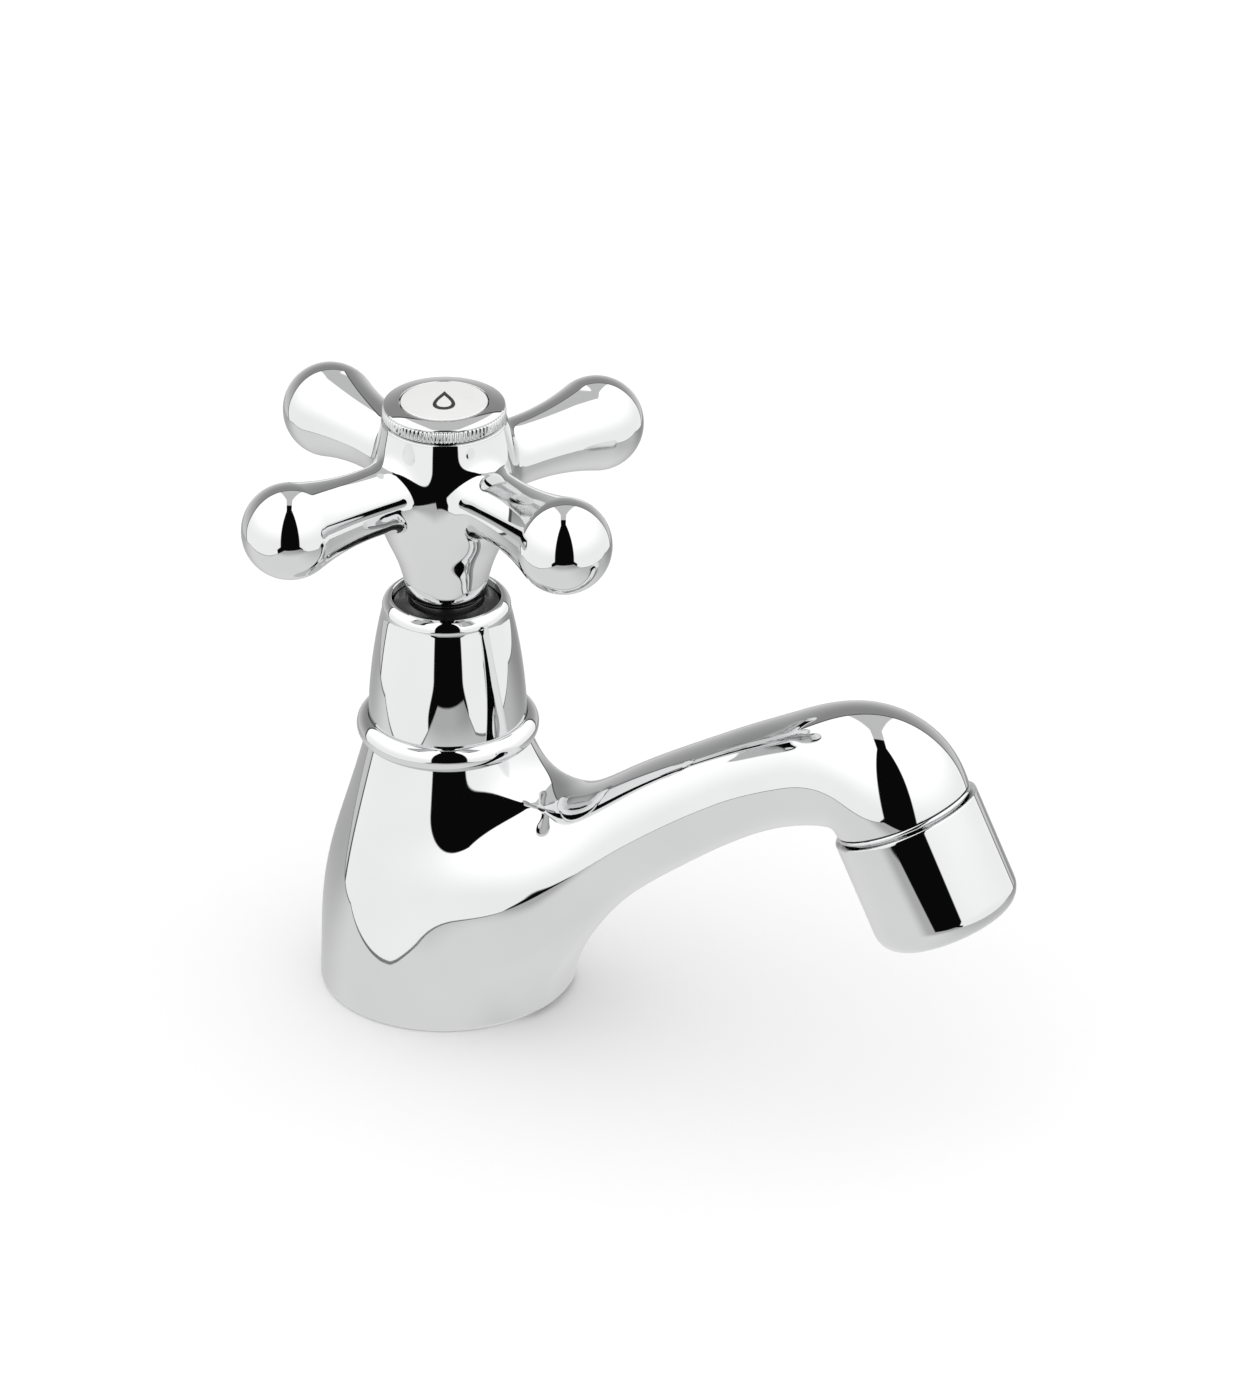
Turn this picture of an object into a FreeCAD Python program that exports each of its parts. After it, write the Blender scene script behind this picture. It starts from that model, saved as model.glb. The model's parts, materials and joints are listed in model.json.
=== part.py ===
import FreeCAD, Part
import math
import operator
import os

import Sketcher
from FreeCAD import Placement, Rotation, Vector

# A deck-mounted pillar tap with a cross handle, in millimetres. The origin is on the deck, on the valve's
# axis; +Z is up and the spout points along +X. Levels are heights above the deck, reaches are distances
# from the valve's axis, and depths in the nose are measured along the outlet from the aerator's rim.

SIZES = {
    # casting: the upright part
    "base_radius": 20.6,
    "base_shift": 0.9,
    "base_round": 0.8,
    "foot_level": 10.0,
    "foot_radius": 20.2,
    "waist_level": 20.0,
    "waist_radius": 18.95,
    "breast_level": 31.0,
    "breast_radius": 16.65,
    "bead_level": 46.7,
    "neck_radius": 12.75,
    "bead_ring": 12.55,
    "bead_thick": 2.2,
    "spigot_radius": 11.6,
    "spigot_length": 5.3,
    "recess_radius": 12.95,
    # casting: the spout, station by station along its middle line
    "root_reach": 5.0,
    "root_level": 16.6,
    "root_radius": 15.9,
    "root_lean": 64.0,
    "haunch_reach": 14.4,
    "haunch_level": 22.5,
    "haunch_radius": 14.2,
    "rise_reach": 26.0,
    "rise_level": 29.7,
    "rise_radius": 9.7,
    "slope_reach": 38.0,
    "slope_level": 38.8,
    "slope_radius": 8.85,
    "middle_reach": 50.0,
    "middle_level": 46.9,
    "middle_radius": 8.4,
    "crest_reach": 58.0,
    "crest_level": 51.5,
    "crest_radius": 8.6,
    "bend_gap": 1.2,
    "bend_lap": 0.5,
    "bend_step": 0.1,
    "neck_lean": 66.0,
    "neck_tube": 9.1,
    "neck_gap": 0.6,
    "brow_lean": 96.0,
    "brow_tube": 10.3,
    "brow_gap": 1.0,
    "cheek_lean": 126.0,
    "cheek_tube": 11.35,
    "cheek_gap": 2.1,
    "nose_radius": 11.3,
    "spout_blend": 11.0,
    # casting: the nose that carries the aerator
    "outlet_reach": 81.7,
    "outlet_level": 50.1,
    "outlet_lean": 26.0,
    "nose_lift": 1.5,
    "nose_root": 0.5,
    "collar_radius": 11.35,
    "collar_lift": 1.25,
    "collar_groove": 0.5,
    "nose_neck_radius": 10.5,
    "nose_neck_depth": 2.0,
    "nose_thread_radius": 10.93,
    "nose_length": 7.5,
    "nose_bore": 8.0,
    # casting: the waterway
    "socket_radius": 9.316,
    "socket_depth": 13.0,
    "passage_radius": 6.0,
    "seat_level": 24.0,
    "chamber_radius": 10.45,
    "water_level": 31.0,
    "water_bend_reach": 18.0,
    "water_radius": 5.2,
    "water_step": 0.4,
    "water_end_radius": 7.5,
    "gasket_ring": 17.6,
    "gasket_width": 2.4,
    "gasket_groove_depth": 1.8,
    # shroud
    "shroud_foot_radius": 12.87,
    "shroud_belly": 95.0,
    "shroud_shoulder_level": 67.7,
    "shroud_shoulder_radius": 10.35,
    "shroud_top_level": 69.8,
    "shroud_lip": 1.9,
    "shroud_lip_width": 0.5,
    "shroud_lip_bevel": 0.35,
    "shroud_mouth_radius": 8.7,
    "shroud_mouth_length": 3.9,
    "shroud_wall": 0.95,
    "shroud_ring_thick": 0.53,
    # headwork
    "thread_radius": 10.4,
    "thread_length": 10.0,
    "hexagon_flats": 18.0,
    "hexagon_height": 5.0,
    "headwork_gasket_thick": 1.0,
    "barrel_radius": 8.9,
    "barrel_lift": 1.5,
    "disc_bore": 7.7,
    "disc_radius": 7.6,
    "disc_shoulder_level": 38.6,
    "bonnet_radius": 8.2,
    "bonnet_level": 66.2,
    "clip_well_radius": 6.0,
    "clip_well_depth": 1.2,
    "window_height": 4.6,
    "window_width": 8.0,
    "seal_height": 4.0,
    "seal_radius": 7.4,
    "seal_bore": 5.0,
    "seal_lip_share": 0.25,
    "seal_ring_thick": 0.8,
    "fixed_disc_height": 3.4,
    "turning_disc_height": 3.4,
    "port_inner": 2.2,
    "port_outer": 6.0,
    "port_angle": 70.0,
    "tang_width": 3.0,
    "tang_height": 1.2,
    "tang_inset": 0.6,
    "driver_height": 2.7,
    "driver_radius": 7.5,
    "thrust_gap": 0.05,
    "stem_radius": 4.5,
    "stem_level": 68.5,
    "spline_radius": 4.0,
    "spline_root": 3.55,
    "spline_top_level": 80.0,
    "spline_teeth": 20.0,
    "ring_groove_depth": 1.2,
    "ring_groove_width": 1.5,
    "lower_ring_level": 46.0,
    "upper_ring_level": 50.0,
    "clip_thick": 0.8,
    "clip_radius": 5.6,
    "clip_gap": 5.0,
    "dust_ring_height": 1.7,
    "dust_ring_gap": 0.3,
    # handle
    "handle_foot_level": 70.6,
    "handle_foot_round": 0.5,
    "handle_neck_radius": 6.55,
    "handle_neck_level": 72.0,
    "handle_flare": 13.0,
    "flare_level": 80.0,
    "hub_radius": 11.35,
    "hub_top_radius": 10.0,
    "hub_top_level": 101.4,
    "arm_level": 91.07,
    "arm_start": 6.0,
    "arm_waist_reach": 15.5,
    "arm_waist_radius": 5.45,
    "knob_reach": 30.6,
    "knob_radius": 7.7,
    "arm_blend": 2.2,
    "handle_turn": 24.6,
    "insert_bore": 5.2,
    "insert_floor_level": 81.0,
    "screw_hole": 2.7,
    "screw_floor_level": 85.0,
    "screw_well": 5.3,
    "cap_thread_level": 95.5,
    "cap_thread_radius": 6.5,
    "screw_radius": 2.48,
    "screw_tip_level": 68.5,
    "screw_hole_bottom": 67.0,
    "tapped_radius": 2.5,
    "screw_head_radius": 4.4,
    "screw_head_height": 3.0,
    "screw_slot_width": 1.2,
    "screw_slot_share": 1.3,
    "screw_tip_bevel": 0.5,
    "washer_thick": 1.0,
    "washer_radius": 4.8,
    # index cap and disc
    "cap_radius": 9.85,
    "cap_edge_height": 2.35,
    "cap_top_lift": 0.6,
    "cap_bevel_radius": 7.2,
    "cap_recess": 7.03,
    "cap_recess_depth": 1.6,
    "cap_roof": 0.95,
    "cap_stub_length": 4.8,
    "cap_stub_bore": 5.2,
    "index_radius": 6.93,
    "index_rise": 0.15,
    # aerator
    "housing_radius": 12.0,
    "housing_length": 19.7,
    "housing_mouth": 11.4,
    "housing_land": 0.3,
    "housing_thread": 10.98,
    "housing_bore": 10.25,
    "housing_lip": 9.1,
    "housing_lip_height": 1.2,
    "aerator_gasket_thick": 1.5,
    "aerator_seat_depth": 9.2,
    "strainer_radius": 7.0,
    "strainer_rise": 2.6,
    "strainer_thick": 0.5,
    "plate_thick": 2.0,
    "plate_holes": 12.0,
    "plate_hole_radius": 0.5,
    "plate_hole_ring": 6.0,
    "mixer_wall": 1.1,
    "mixer_slots": 6.0,
    "mixer_slot_width": 3.0,
    "screen_thick": 1.6,
    "screen_rim": 1.2,
    "screen_holes": 12.0,
    "screen_hub": 1.3,
    "screen_bar": 0.6,
    "screen_open_share": 0.8,
    # clearances
    "fit_gap": 0.05,
    "seat_gap": 0.02,
}


class Size:
    """A number, together with the formula in the sheet's cells that gives it."""

    def __init__(self, value, formula):
        self.value = float(value)
        self.formula = formula

    def __add__(self, other):
        return combine(self, "+", other)

    def __radd__(self, other):
        return combine(other, "+", self)

    def __sub__(self, other):
        return combine(self, "-", other)

    def __rsub__(self, other):
        return combine(other, "-", self)

    def __mul__(self, other):
        return combine(self, "*", other)

    def __rmul__(self, other):
        return combine(other, "*", self)

    def __truediv__(self, other):
        return combine(self, "/", other)

    def __rtruediv__(self, other):
        return combine(other, "/", self)

    def __neg__(self):
        return combine(0, "-", self)


SIGNS = {"+": operator.add, "-": operator.sub, "*": operator.mul, "/": operator.truediv}


def as_size(thing):
    return thing if isinstance(thing, Size) else Size(thing, f"{float(thing):.9g}")


def combine(first, sign, second):
    first, second = as_size(first), as_size(second)
    return Size(SIGNS[sign](first.value, second.value), f"({first.formula} {sign} {second.formula})")


def root(size):
    return Size(math.sqrt(size.value), f"sqrt({size.formula})")


def sine(angle):
    angle = as_size(angle)
    return Size(math.sin(math.radians(angle.value)), f"sin({angle.formula} * 1 deg)")


def cosine(angle):
    angle = as_size(angle)
    return Size(math.cos(math.radians(angle.value)), f"cos({angle.formula} * 1 deg)")


def direction(rise, run):
    """The angle in degrees above the horizontal of a line with that rise and run."""
    angle = math.degrees(math.atan2(rise.value, run.value))
    return Size(angle, f"(atan2({rise.formula}; {run.formula}) / 1 deg)")


def other_leg(slant, leg):
    return root(slant * slant - leg * leg)


doc = FreeCAD.newDocument("CrossHandleTap")
sheet = doc.addObject("Spreadsheet::Sheet", "Sizes")
for row, (name, number) in enumerate(SIZES.items(), start=1):
    sheet.set(f"A{row}", name)
    sheet.set(f"B{row}", str(number))
    sheet.setAlias(f"B{row}", name)
doc.recompute()


class Cells:
    """The sheet's cells by name, each as a Size."""

    def __getattr__(self, name):
        return Size(sheet.get(name), f"Sizes.{name}")


s = Cells()
subparts = []


# ---------------------------------------------------------------- building blocks


def new_body(label):
    body = doc.addObject("PartDesign::Body", label)
    body.Label = label
    subparts.append(body)
    return body


def origin_plane(body, role):
    return next(o for o in body.Origin.OriginFeatures if o.Role == role)


def sketch_on(body, role, right=0, up=0, lift=0, spin=0, axis=Vector(0, 0, 1)):
    """A sketch on one of the body's origin planes, moved by right, up and lift and turned by spin."""
    sketch = body.newObject("Sketcher::SketchObject", "sketch")
    sketch.AttachmentSupport = [(origin_plane(body, role), "")]
    sketch.MapMode = "FlatFace"
    right, up, lift, spin = (as_size(v) for v in (right, up, lift, spin))
    start = Vector(right.value, up.value, lift.value)
    sketch.AttachmentOffset = Placement(start, Rotation(axis, spin.value or 1e-9))
    for cell, size in (("Base.x", right), ("Base.y", up), ("Base.z", lift)):
        if "Sizes" in size.formula:
            sketch.setExpression(f"AttachmentOffset.{cell}", size.formula)
    if "Sizes" in spin.formula:
        sketch.setExpression("AttachmentOffset.Rotation.Angle", spin.formula)
    elif spin.value == 0:
        sketch.AttachmentOffset = Placement(start, Rotation())
    return sketch


def bind(sketch, kind, where, size, name):
    """A dimension of the sketch that follows the sheet."""
    size = as_size(size)
    number = sketch.addConstraint(Sketcher.Constraint(kind, *where, size.value))
    sketch.renameConstraint(number, name)
    if "Sizes" in size.formula:
        sketch.setExpression(f"Constraints.{name}", size.formula)


def arc_between(start, end, radius, side):
    """An arc from start to end, its centre on the left of the way there for side 1, on the right for -1."""
    chord = end - start
    half = chord.Length / 2
    reach = math.sqrt(max(radius * radius - half * half, 0))
    normal = Vector(-chord.y, chord.x, 0) / chord.Length
    centre = start + chord / 2 + normal * reach * side
    first, last = (start, end) if side > 0 else (end, start)
    angles = [math.atan2(p.y - centre.y, p.x - centre.x) for p in (first, last)]
    if angles[1] < angles[0]:
        angles[1] += 2 * math.pi
    return Part.ArcOfCircle(Part.Circle(centre, Vector(0, 0, 1), radius), *angles)


def draw_outline(sketch, points):
    """A closed outline. A point is (x, y), or (x, y, radius, side) where an arc leads on to the next."""
    base = sketch.GeometryCount
    corners = [tuple(as_size(v) for v in p[:2]) for p in points]
    places = [Vector(x.value, y.value, 0) for x, y in corners]
    ends = []
    for i, point in enumerate(points):
        start, end = places[i], places[(i + 1) % len(points)]
        if len(point) == 2:
            sketch.addGeometry(Part.LineSegment(start, end))
            ends.append((1, 2))
        else:
            radius, side = as_size(point[2]), point[3]
            sketch.addGeometry(arc_between(start, end, radius.value, side))
            ends.append((1, 2) if side > 0 else (2, 1))
    for i in range(len(points)):
        after = (i + 1) % len(points)
        joint = (base + i, ends[i][1], base + after, ends[after][0])
        sketch.addConstraint(Sketcher.Constraint("Coincident", *joint))
    for i, (x, y) in enumerate(corners):
        where = (-1, 1, base + i, ends[i][0])
        bind(sketch, "DistanceX", where, x, f"x{base + i}")
        bind(sketch, "DistanceY", where, y, f"y{base + i}")
        if len(points[i]) == 4:
            bind(sketch, "Radius", (base + i,), points[i][2], f"r{base + i}")


def draw_circle(sketch, x, y, radius):
    x, y, radius = as_size(x), as_size(y), as_size(radius)
    number = sketch.GeometryCount
    circle = Part.Circle(Vector(x.value, y.value, 0), Vector(0, 0, 1), radius.value)
    sketch.addGeometry(circle)
    bind(sketch, "Radius", (number,), radius, f"r{number}")
    bind(sketch, "DistanceX", (-1, 1, number, 3), x, f"x{number}")
    bind(sketch, "DistanceY", (-1, 1, number, 3), y, f"y{number}")


def revolve(body, points, kind="Revolution", axis="V_Axis", **place):
    """Turns an outline of (radius, level) points about the upright axis of its own sketch."""
    sketch = sketch_on(body, "XZ_Plane", **place)
    draw_outline(sketch, points)
    feature = body.newObject(f"PartDesign::{kind}", kind)
    feature.Profile = sketch
    feature.ReferenceAxis = (sketch, [axis])
    feature.Angle = 360
    doc.recompute()
    return feature


def extrude(body, sketch, kind, length, both_ways=False, reverse=False):
    feature = body.newObject(f"PartDesign::{kind}", kind)
    feature.Profile = sketch
    feature.SideType = "Symmetric" if both_ways else "One side"
    feature.Reversed = reverse
    length = as_size(length)
    feature.Length = length.value
    if "Sizes" in length.formula:
        feature.setExpression("Length", length.formula)
    doc.recompute()
    return feature


def loft(body, kind, rings):
    """A loft through rings. A ring is (reach, level, radius, lean), its normal leaning from +Z to +X."""
    sketches = []
    for reach, level, radius, lean in rings:
        place = {"right": reach, "lift": level, "spin": lean, "axis": Vector(0, 1, 0)}
        sketch = sketch_on(body, "XY_Plane", **place)
        draw_circle(sketch, 0, 0, radius)
        sketches.append(sketch)
    feature = body.newObject(f"PartDesign::{kind}", kind)
    feature.Profile = sketches[0]
    feature.Sections = [(sketch, [""]) for sketch in sketches[1:]]
    doc.recompute()
    return feature


def repeat_round(body, feature, count):
    """Copies a feature round the body's own upright axis."""
    pattern = body.newObject("PartDesign::PolarPattern", "pattern")
    pattern.Originals = [feature]
    pattern.Axis = (origin_axis(body, "Z_Axis"), [""])
    pattern.Angle = 360
    count = as_size(count)
    pattern.Occurrences = int(count.value)
    if "Sizes" in count.formula:
        pattern.setExpression("Occurrences", count.formula)
    body.Tip = pattern
    doc.recompute()
    return pattern


def origin_axis(body, role):
    return next(o for o in body.Origin.OriginFeatures if o.Role == role)


def dress(body, kind, base, wanted, size):
    """A fillet or chamfer on the base feature's edges for which wanted(edge) is true."""
    names = [f"Edge{i}" for i, edge in enumerate(base.Shape.Edges, start=1) if wanted(edge)]
    if not names:
        raise SystemExit(f"{body.Label}: no edge to dress")
    feature = body.newObject(f"PartDesign::{kind}", kind)
    feature.Base = (base, names)
    if kind == "Fillet":
        feature.Radius = size.value
        feature.setExpression("Radius", size.formula)
    else:
        feature.Size = size.value
        feature.setExpression("Size", size.formula)
    doc.recompute()
    return feature


def at_middle(edge):
    return edge.valueAt((edge.FirstParameter + edge.LastParameter) / 2)


def ring_of(label, inner, outer, low, high):
    """A plain washer or bush."""
    body = new_body(label)
    revolve(body, [(inner, low), (outer, low), (outer, high), (inner, high)])
    return body


def tube_ring(label, ring, thick, level):
    """A ring of round section, such as an O-ring."""
    body = new_body(label)
    sketch = sketch_on(body, "XZ_Plane")
    draw_circle(sketch, ring, level, thick)
    feature = body.newObject("PartDesign::Revolution", "Revolution")
    feature.Profile = sketch
    feature.ReferenceAxis = (sketch, ["V_Axis"])
    feature.Angle = 360
    doc.recompute()
    return body


def in_nose(body):
    """Stands the body on the aerator's rim, with its own +Z up the outlet towards the nose."""
    lean = Rotation(Vector(0, 1, 0), -s.outlet_lean.value)
    body.Placement = Placement(Vector(s.outlet_reach.value, 0, s.outlet_level.value), lean)
    body.setExpression("Placement.Base.x", s.outlet_reach.formula)
    body.setExpression("Placement.Base.z", s.outlet_level.formula)
    body.setExpression("Placement.Rotation.Angle", (-s.outlet_lean).formula)


def turned_with_handle(body):
    """Gives the body the rest position of the handle's arms, clockwise from the spout."""
    body.Placement = Placement(Vector(), Rotation(Vector(0, 0, 1), -s.handle_turn.value))
    body.setExpression("Placement.Rotation.Angle", (-s.handle_turn).formula)


# ---------------------------------------------------------------- levels that several pieces share

spigot_top = s.bead_level + s.spigot_length
gasket_top = spigot_top + s.headwork_gasket_thick
hexagon_top = gasket_top + s.hexagon_height
shroud_foot_level = s.bead_level + s.shroud_ring_thick * 2 + s.seat_gap
barrel_foot = s.seat_level + s.barrel_lift
seal_top = s.seat_level + s.seal_height
fixed_disc_top = seal_top + s.fixed_disc_height
turning_disc_foot = fixed_disc_top + s.fit_gap
turning_disc_top = turning_disc_foot + s.turning_disc_height
driver_foot = turning_disc_top + s.fit_gap
driver_top = driver_foot + s.driver_height
clip_foot = s.bonnet_level - s.clip_well_depth + s.fit_gap
dust_ring_foot = s.bonnet_level + s.fit_gap
screw_head_foot = s.screw_floor_level + s.washer_thick
cap_foot_level = s.hub_top_level + s.fit_gap
cap_edge_level = cap_foot_level + s.cap_edge_height
cap_top_level = cap_edge_level + s.cap_top_lift
cap_floor_level = cap_top_level - s.cap_recess_depth
gasket_foot = -s.nose_length - s.aerator_gasket_thick
plate_foot = gasket_foot - s.plate_thick
screen_foot = -s.housing_length + s.housing_lip_height
screen_top = screen_foot + s.screen_thick


# ---------------------------------------------------------------- casting


def body_shift(level):
    """How far behind the valve's axis the upright part's middle lies at that level."""
    return s.base_shift * (level / s.bead_level - 1)


def upright_rings():
    rings = [(0, s.base_radius), (s.foot_level, s.foot_radius), (s.waist_level, s.waist_radius)]
    rings += [(s.breast_level, s.breast_radius), (s.bead_level, s.neck_radius)]
    return [(body_shift(level), level, radius, 0) for level, radius in rings]


def outlet_point(lift):
    """Reach and level of the point that far up the outlet's axis from the aerator's rim."""
    reach = s.outlet_reach - lift * sine(s.outlet_lean)
    return reach, s.outlet_level + lift * cosine(s.outlet_lean)


def bend_rings():
    """The rings round the bend, like spokes from a pivot just under the nose's inner edge."""
    reach, level = outlet_point(s.nose_lift)
    hub_gap = s.nose_radius + s.bend_gap
    pivot_reach = reach - hub_gap * cosine(s.outlet_lean)
    pivot_level = level - hub_gap * sine(s.outlet_lean)
    rings = []
    for name in ("neck", "brow", "cheek"):
        lean, radius, gap = (getattr(s, f"{name}_{what}") for what in ("lean", "tube", "gap"))
        away = radius + gap
        rings.append((pivot_reach - away * cosine(lean), pivot_level + away * sine(lean), radius, lean))
    return rings


def slope_rings(points, after, first_lean):
    """Sets each ring but the first square to the line from the ring before it to the ring after it."""
    rings = []
    for i, (reach, level, radius) in enumerate(points):
        last = points[i + 1] if i + 1 < len(points) else after
        lean = first_lean
        if i > 0:
            before = points[i - 1]
            lean = 90 - direction(last[1] - before[1], last[0] - before[0])
        rings.append((reach, level, radius, lean))
    return rings


def spout_rings():
    """The rings of the sloping arm, then those of the bend, which starts a little inside the arm's end."""
    names = ("root", "haunch", "rise", "slope", "middle", "crest")
    points = [tuple(getattr(s, f"{name}_{what}") for what in ("reach", "level", "radius")) for name in names]
    bend = bend_rings()
    end = (*outlet_point(s.nose_lift), s.nose_radius, 180 - s.outlet_lean)
    reach, level, radius, lean = bend[0]
    lap = (reach - s.bend_lap * sine(lean), level - s.bend_lap * cosine(lean), radius - s.bend_step, lean)
    return slope_rings(points, bend[0], s.root_lean) + bend[:1], [lap] + bend[1:] + [end]


def water_rings():
    """The waterway's rings, along the same middle line as the spout's from the slope on."""
    arm, bend = spout_rings()
    points = [(reach, s.water_level, s.water_radius) for reach in (s.chamber_radius / 2, s.water_bend_reach)]
    inside = [(reach, level, s.water_radius, lean) for reach, level, _, lean in arm[3:]]
    start = s.water_radius + s.water_step
    growth = (s.water_end_radius - start) / (len(bend) - 1)
    round_bend = [(reach, level, start + growth * i, lean) for i, (reach, level, _, lean) in enumerate(bend[:-1])]
    last = (*outlet_point(s.nose_lift / 2), s.water_end_radius, 180 - s.outlet_lean)
    return slope_rings(points, arm[3], 90) + inside, round_bend + [last]


def make_tap_body():
    body = new_body("tap_body")
    loft(body, "AdditiveLoft", upright_rings())
    arm, bend = spout_rings()
    skin = loft(body, "AdditiveLoft", arm)

    def at_spout(edge):
        box = edge.BoundBox
        wide = box.YLength > s.rise_radius.value / 2
        return wide and box.XMin > 0 and box.ZMin > 0.5 and box.ZMax < s.bead_level.value - 1

    dress(body, "Fillet", skin, at_spout, s.spout_blend)
    blended = loft(body, "AdditiveLoft", bend)

    def at_foot(edge):
        box = edge.BoundBox
        return box.ZMax < 0.01 and box.YLength > s.base_radius.value

    dress(body, "Fillet", blended, at_foot, s.base_round)
    bead_top = s.bead_level + other_leg(s.bead_thick, s.recess_radius - s.bead_ring)
    bead_foot = s.bead_level - s.bead_thick
    bead = [(0, bead_foot), (s.bead_ring, bead_foot, s.bead_thick, 1), (s.recess_radius, bead_top)]
    bead += [(s.recess_radius, s.bead_level), (s.spigot_radius, s.bead_level)]
    bead += [(s.spigot_radius, spigot_top), (0, spigot_top)]
    revolve(body, bead)
    collar_foot = s.collar_groove / 2
    nose = [(0, s.nose_lift + s.nose_root), (s.nose_neck_radius, s.nose_lift + s.nose_root)]
    nose += [(s.nose_neck_radius, s.collar_lift), (s.collar_radius, s.collar_lift)]
    nose += [(s.collar_radius, collar_foot), (s.nose_neck_radius, collar_foot)]
    nose += [(s.nose_neck_radius, -s.nose_neck_depth), (s.nose_thread_radius, -s.nose_neck_depth)]
    nose += [(s.nose_thread_radius, -s.nose_length), (0, -s.nose_length)]
    at_nose = {"right": s.outlet_reach, "up": s.outlet_level, "spin": s.outlet_lean}
    revolve(body, nose, **at_nose)
    bore = [(0, -s.nose_length), (s.nose_bore, -s.nose_length), (s.nose_bore, s.nose_lift), (0, s.nose_lift)]
    revolve(body, bore, "Groove", **at_nose)
    slant = s.socket_radius - s.passage_radius
    inlet = [(0, 0), (s.socket_radius, 0), (s.socket_radius, s.socket_depth)]
    inlet += [(s.passage_radius, s.socket_depth + slant / 2), (s.passage_radius, s.seat_level)]
    inlet += [(s.chamber_radius, s.seat_level), (s.chamber_radius, spigot_top), (0, spigot_top)]
    revolve(body, inlet, "Groove")
    for rings in water_rings():
        loft(body, "SubtractiveLoft", rings)
    inner, outer = s.gasket_ring - s.gasket_width / 2, s.gasket_ring + s.gasket_width / 2
    groove = [(inner, 0), (outer, 0), (outer, s.gasket_groove_depth), (inner, s.gasket_groove_depth)]
    revolve(body, groove, "Groove", right=-s.base_shift)


def make_base_gasket():
    inner = s.gasket_ring - s.gasket_width / 2 + s.fit_gap
    outer = s.gasket_ring + s.gasket_width / 2 - s.fit_gap
    gasket = ring_of("base_gasket", inner, outer, 0, s.gasket_groove_depth - s.fit_gap)
    gasket.Placement = Placement(Vector(-s.base_shift.value, 0, 0), Rotation())
    gasket.setExpression("Placement.Base.x", (-s.base_shift).formula)


# ---------------------------------------------------------------- shroud and headwork


def make_shroud():
    body = new_body("shroud")
    lip_top = s.shroud_mouth_radius + s.shroud_lip_width
    thread = s.spigot_radius + s.fit_gap
    roof = s.shroud_top_level - s.shroud_mouth_length
    outline = [(thread, shroud_foot_level), (s.shroud_foot_radius, shroud_foot_level, s.shroud_belly, 1)]
    outline += [(s.shroud_shoulder_radius, s.shroud_shoulder_level, s.shroud_lip, 1)]
    outline += [(lip_top, s.shroud_top_level)]
    outline += [(s.shroud_mouth_radius, s.shroud_top_level - s.shroud_lip_bevel)]
    outline += [(s.shroud_mouth_radius, roof)]
    outline += [(s.shroud_shoulder_radius - s.shroud_wall, roof - s.shroud_wall)]
    outline += [(thread, gasket_top + s.fit_gap)]
    revolve(body, outline)


def make_headwork_housing():
    body = new_body("headwork_housing")
    thread_foot = spigot_top - s.thread_length
    well_foot = s.bonnet_level - s.clip_well_depth
    stem_bore = s.stem_radius + s.fit_gap
    outline = [(s.disc_bore, barrel_foot), (s.barrel_radius, barrel_foot)]
    outline += [(s.barrel_radius, thread_foot), (s.thread_radius, thread_foot)]
    outline += [(s.thread_radius, hexagon_top - s.hexagon_height / 2)]
    outline += [(s.bonnet_radius, hexagon_top - s.hexagon_height / 2)]
    outline += [(s.bonnet_radius, s.bonnet_level), (s.clip_well_radius, s.bonnet_level)]
    outline += [(s.clip_well_radius, well_foot), (stem_bore, well_foot)]
    outline += [(stem_bore, s.disc_shoulder_level), (s.disc_bore, s.disc_shoulder_level)]
    revolve(body, outline)
    hexagon = sketch_on(body, "XY_Plane", lift=gasket_top)
    corner = s.hexagon_flats / math.sqrt(3)
    draw_outline(hexagon, [(corner * cosine(60 * k), corner * sine(60 * k)) for k in range(6)])
    draw_circle(hexagon, 0, 0, stem_bore)
    extrude(body, hexagon, "Pad", s.hexagon_height)
    window = sketch_on(body, "YZ_Plane")
    half = s.window_width / 2
    low, high = fixed_disc_top, fixed_disc_top + s.window_height
    draw_outline(window, [(-half, low), (half, low), (half, high), (-half, high)])
    extrude(body, window, "Pocket", s.barrel_radius * 3, both_ways=True)


def draw_port(sketch, inner, outer, angle, middle=0):
    """A sector between two radii, that many degrees wide, about the direction of middle."""
    low, high = middle - angle / 2, middle + angle / 2
    corners = [(inner, low), (outer, low), (outer, high), (inner, high)]
    (a, b, c, d) = [(size * cosine(turn), size * sine(turn)) for size, turn in corners]
    draw_outline(sketch, [a, (*b, outer, 1), c, (*d, inner, -1)])


def make_discs():
    fixed = ring_of("fixed_disc", 0, s.disc_radius, seal_top, fixed_disc_top)
    port = sketch_on(fixed, "XY_Plane", lift=seal_top)
    draw_port(port, s.port_inner, s.port_outer, s.port_angle)
    cut = extrude(fixed, port, "Pocket", s.fixed_disc_height, reverse=True)
    repeat_round(fixed, cut, 2)
    turning = ring_of("turning_disc", 0, s.disc_radius, turning_disc_foot, turning_disc_top)
    port = sketch_on(turning, "XY_Plane", lift=turning_disc_foot)
    draw_port(port, s.port_inner, s.disc_radius + 1, s.port_angle, 90)
    cut = extrude(turning, port, "Pocket", s.turning_disc_height, reverse=True)
    repeat_round(turning, cut, 2)
    slot = sketch_on(turning, "XY_Plane", lift=turning_disc_top)
    width = s.tang_width + s.fit_gap * 2
    draw_bar(slot, width, s.disc_radius * 2 + 1)
    extrude(turning, slot, "Pocket", s.tang_height + s.fit_gap)


def draw_bar(sketch, width, length):
    """A rectangle on the sketch's middle, long along its own x."""
    x, y = length / 2, width / 2
    draw_outline(sketch, [(-x, -y), (x, -y), (x, y), (-x, y)])


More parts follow.
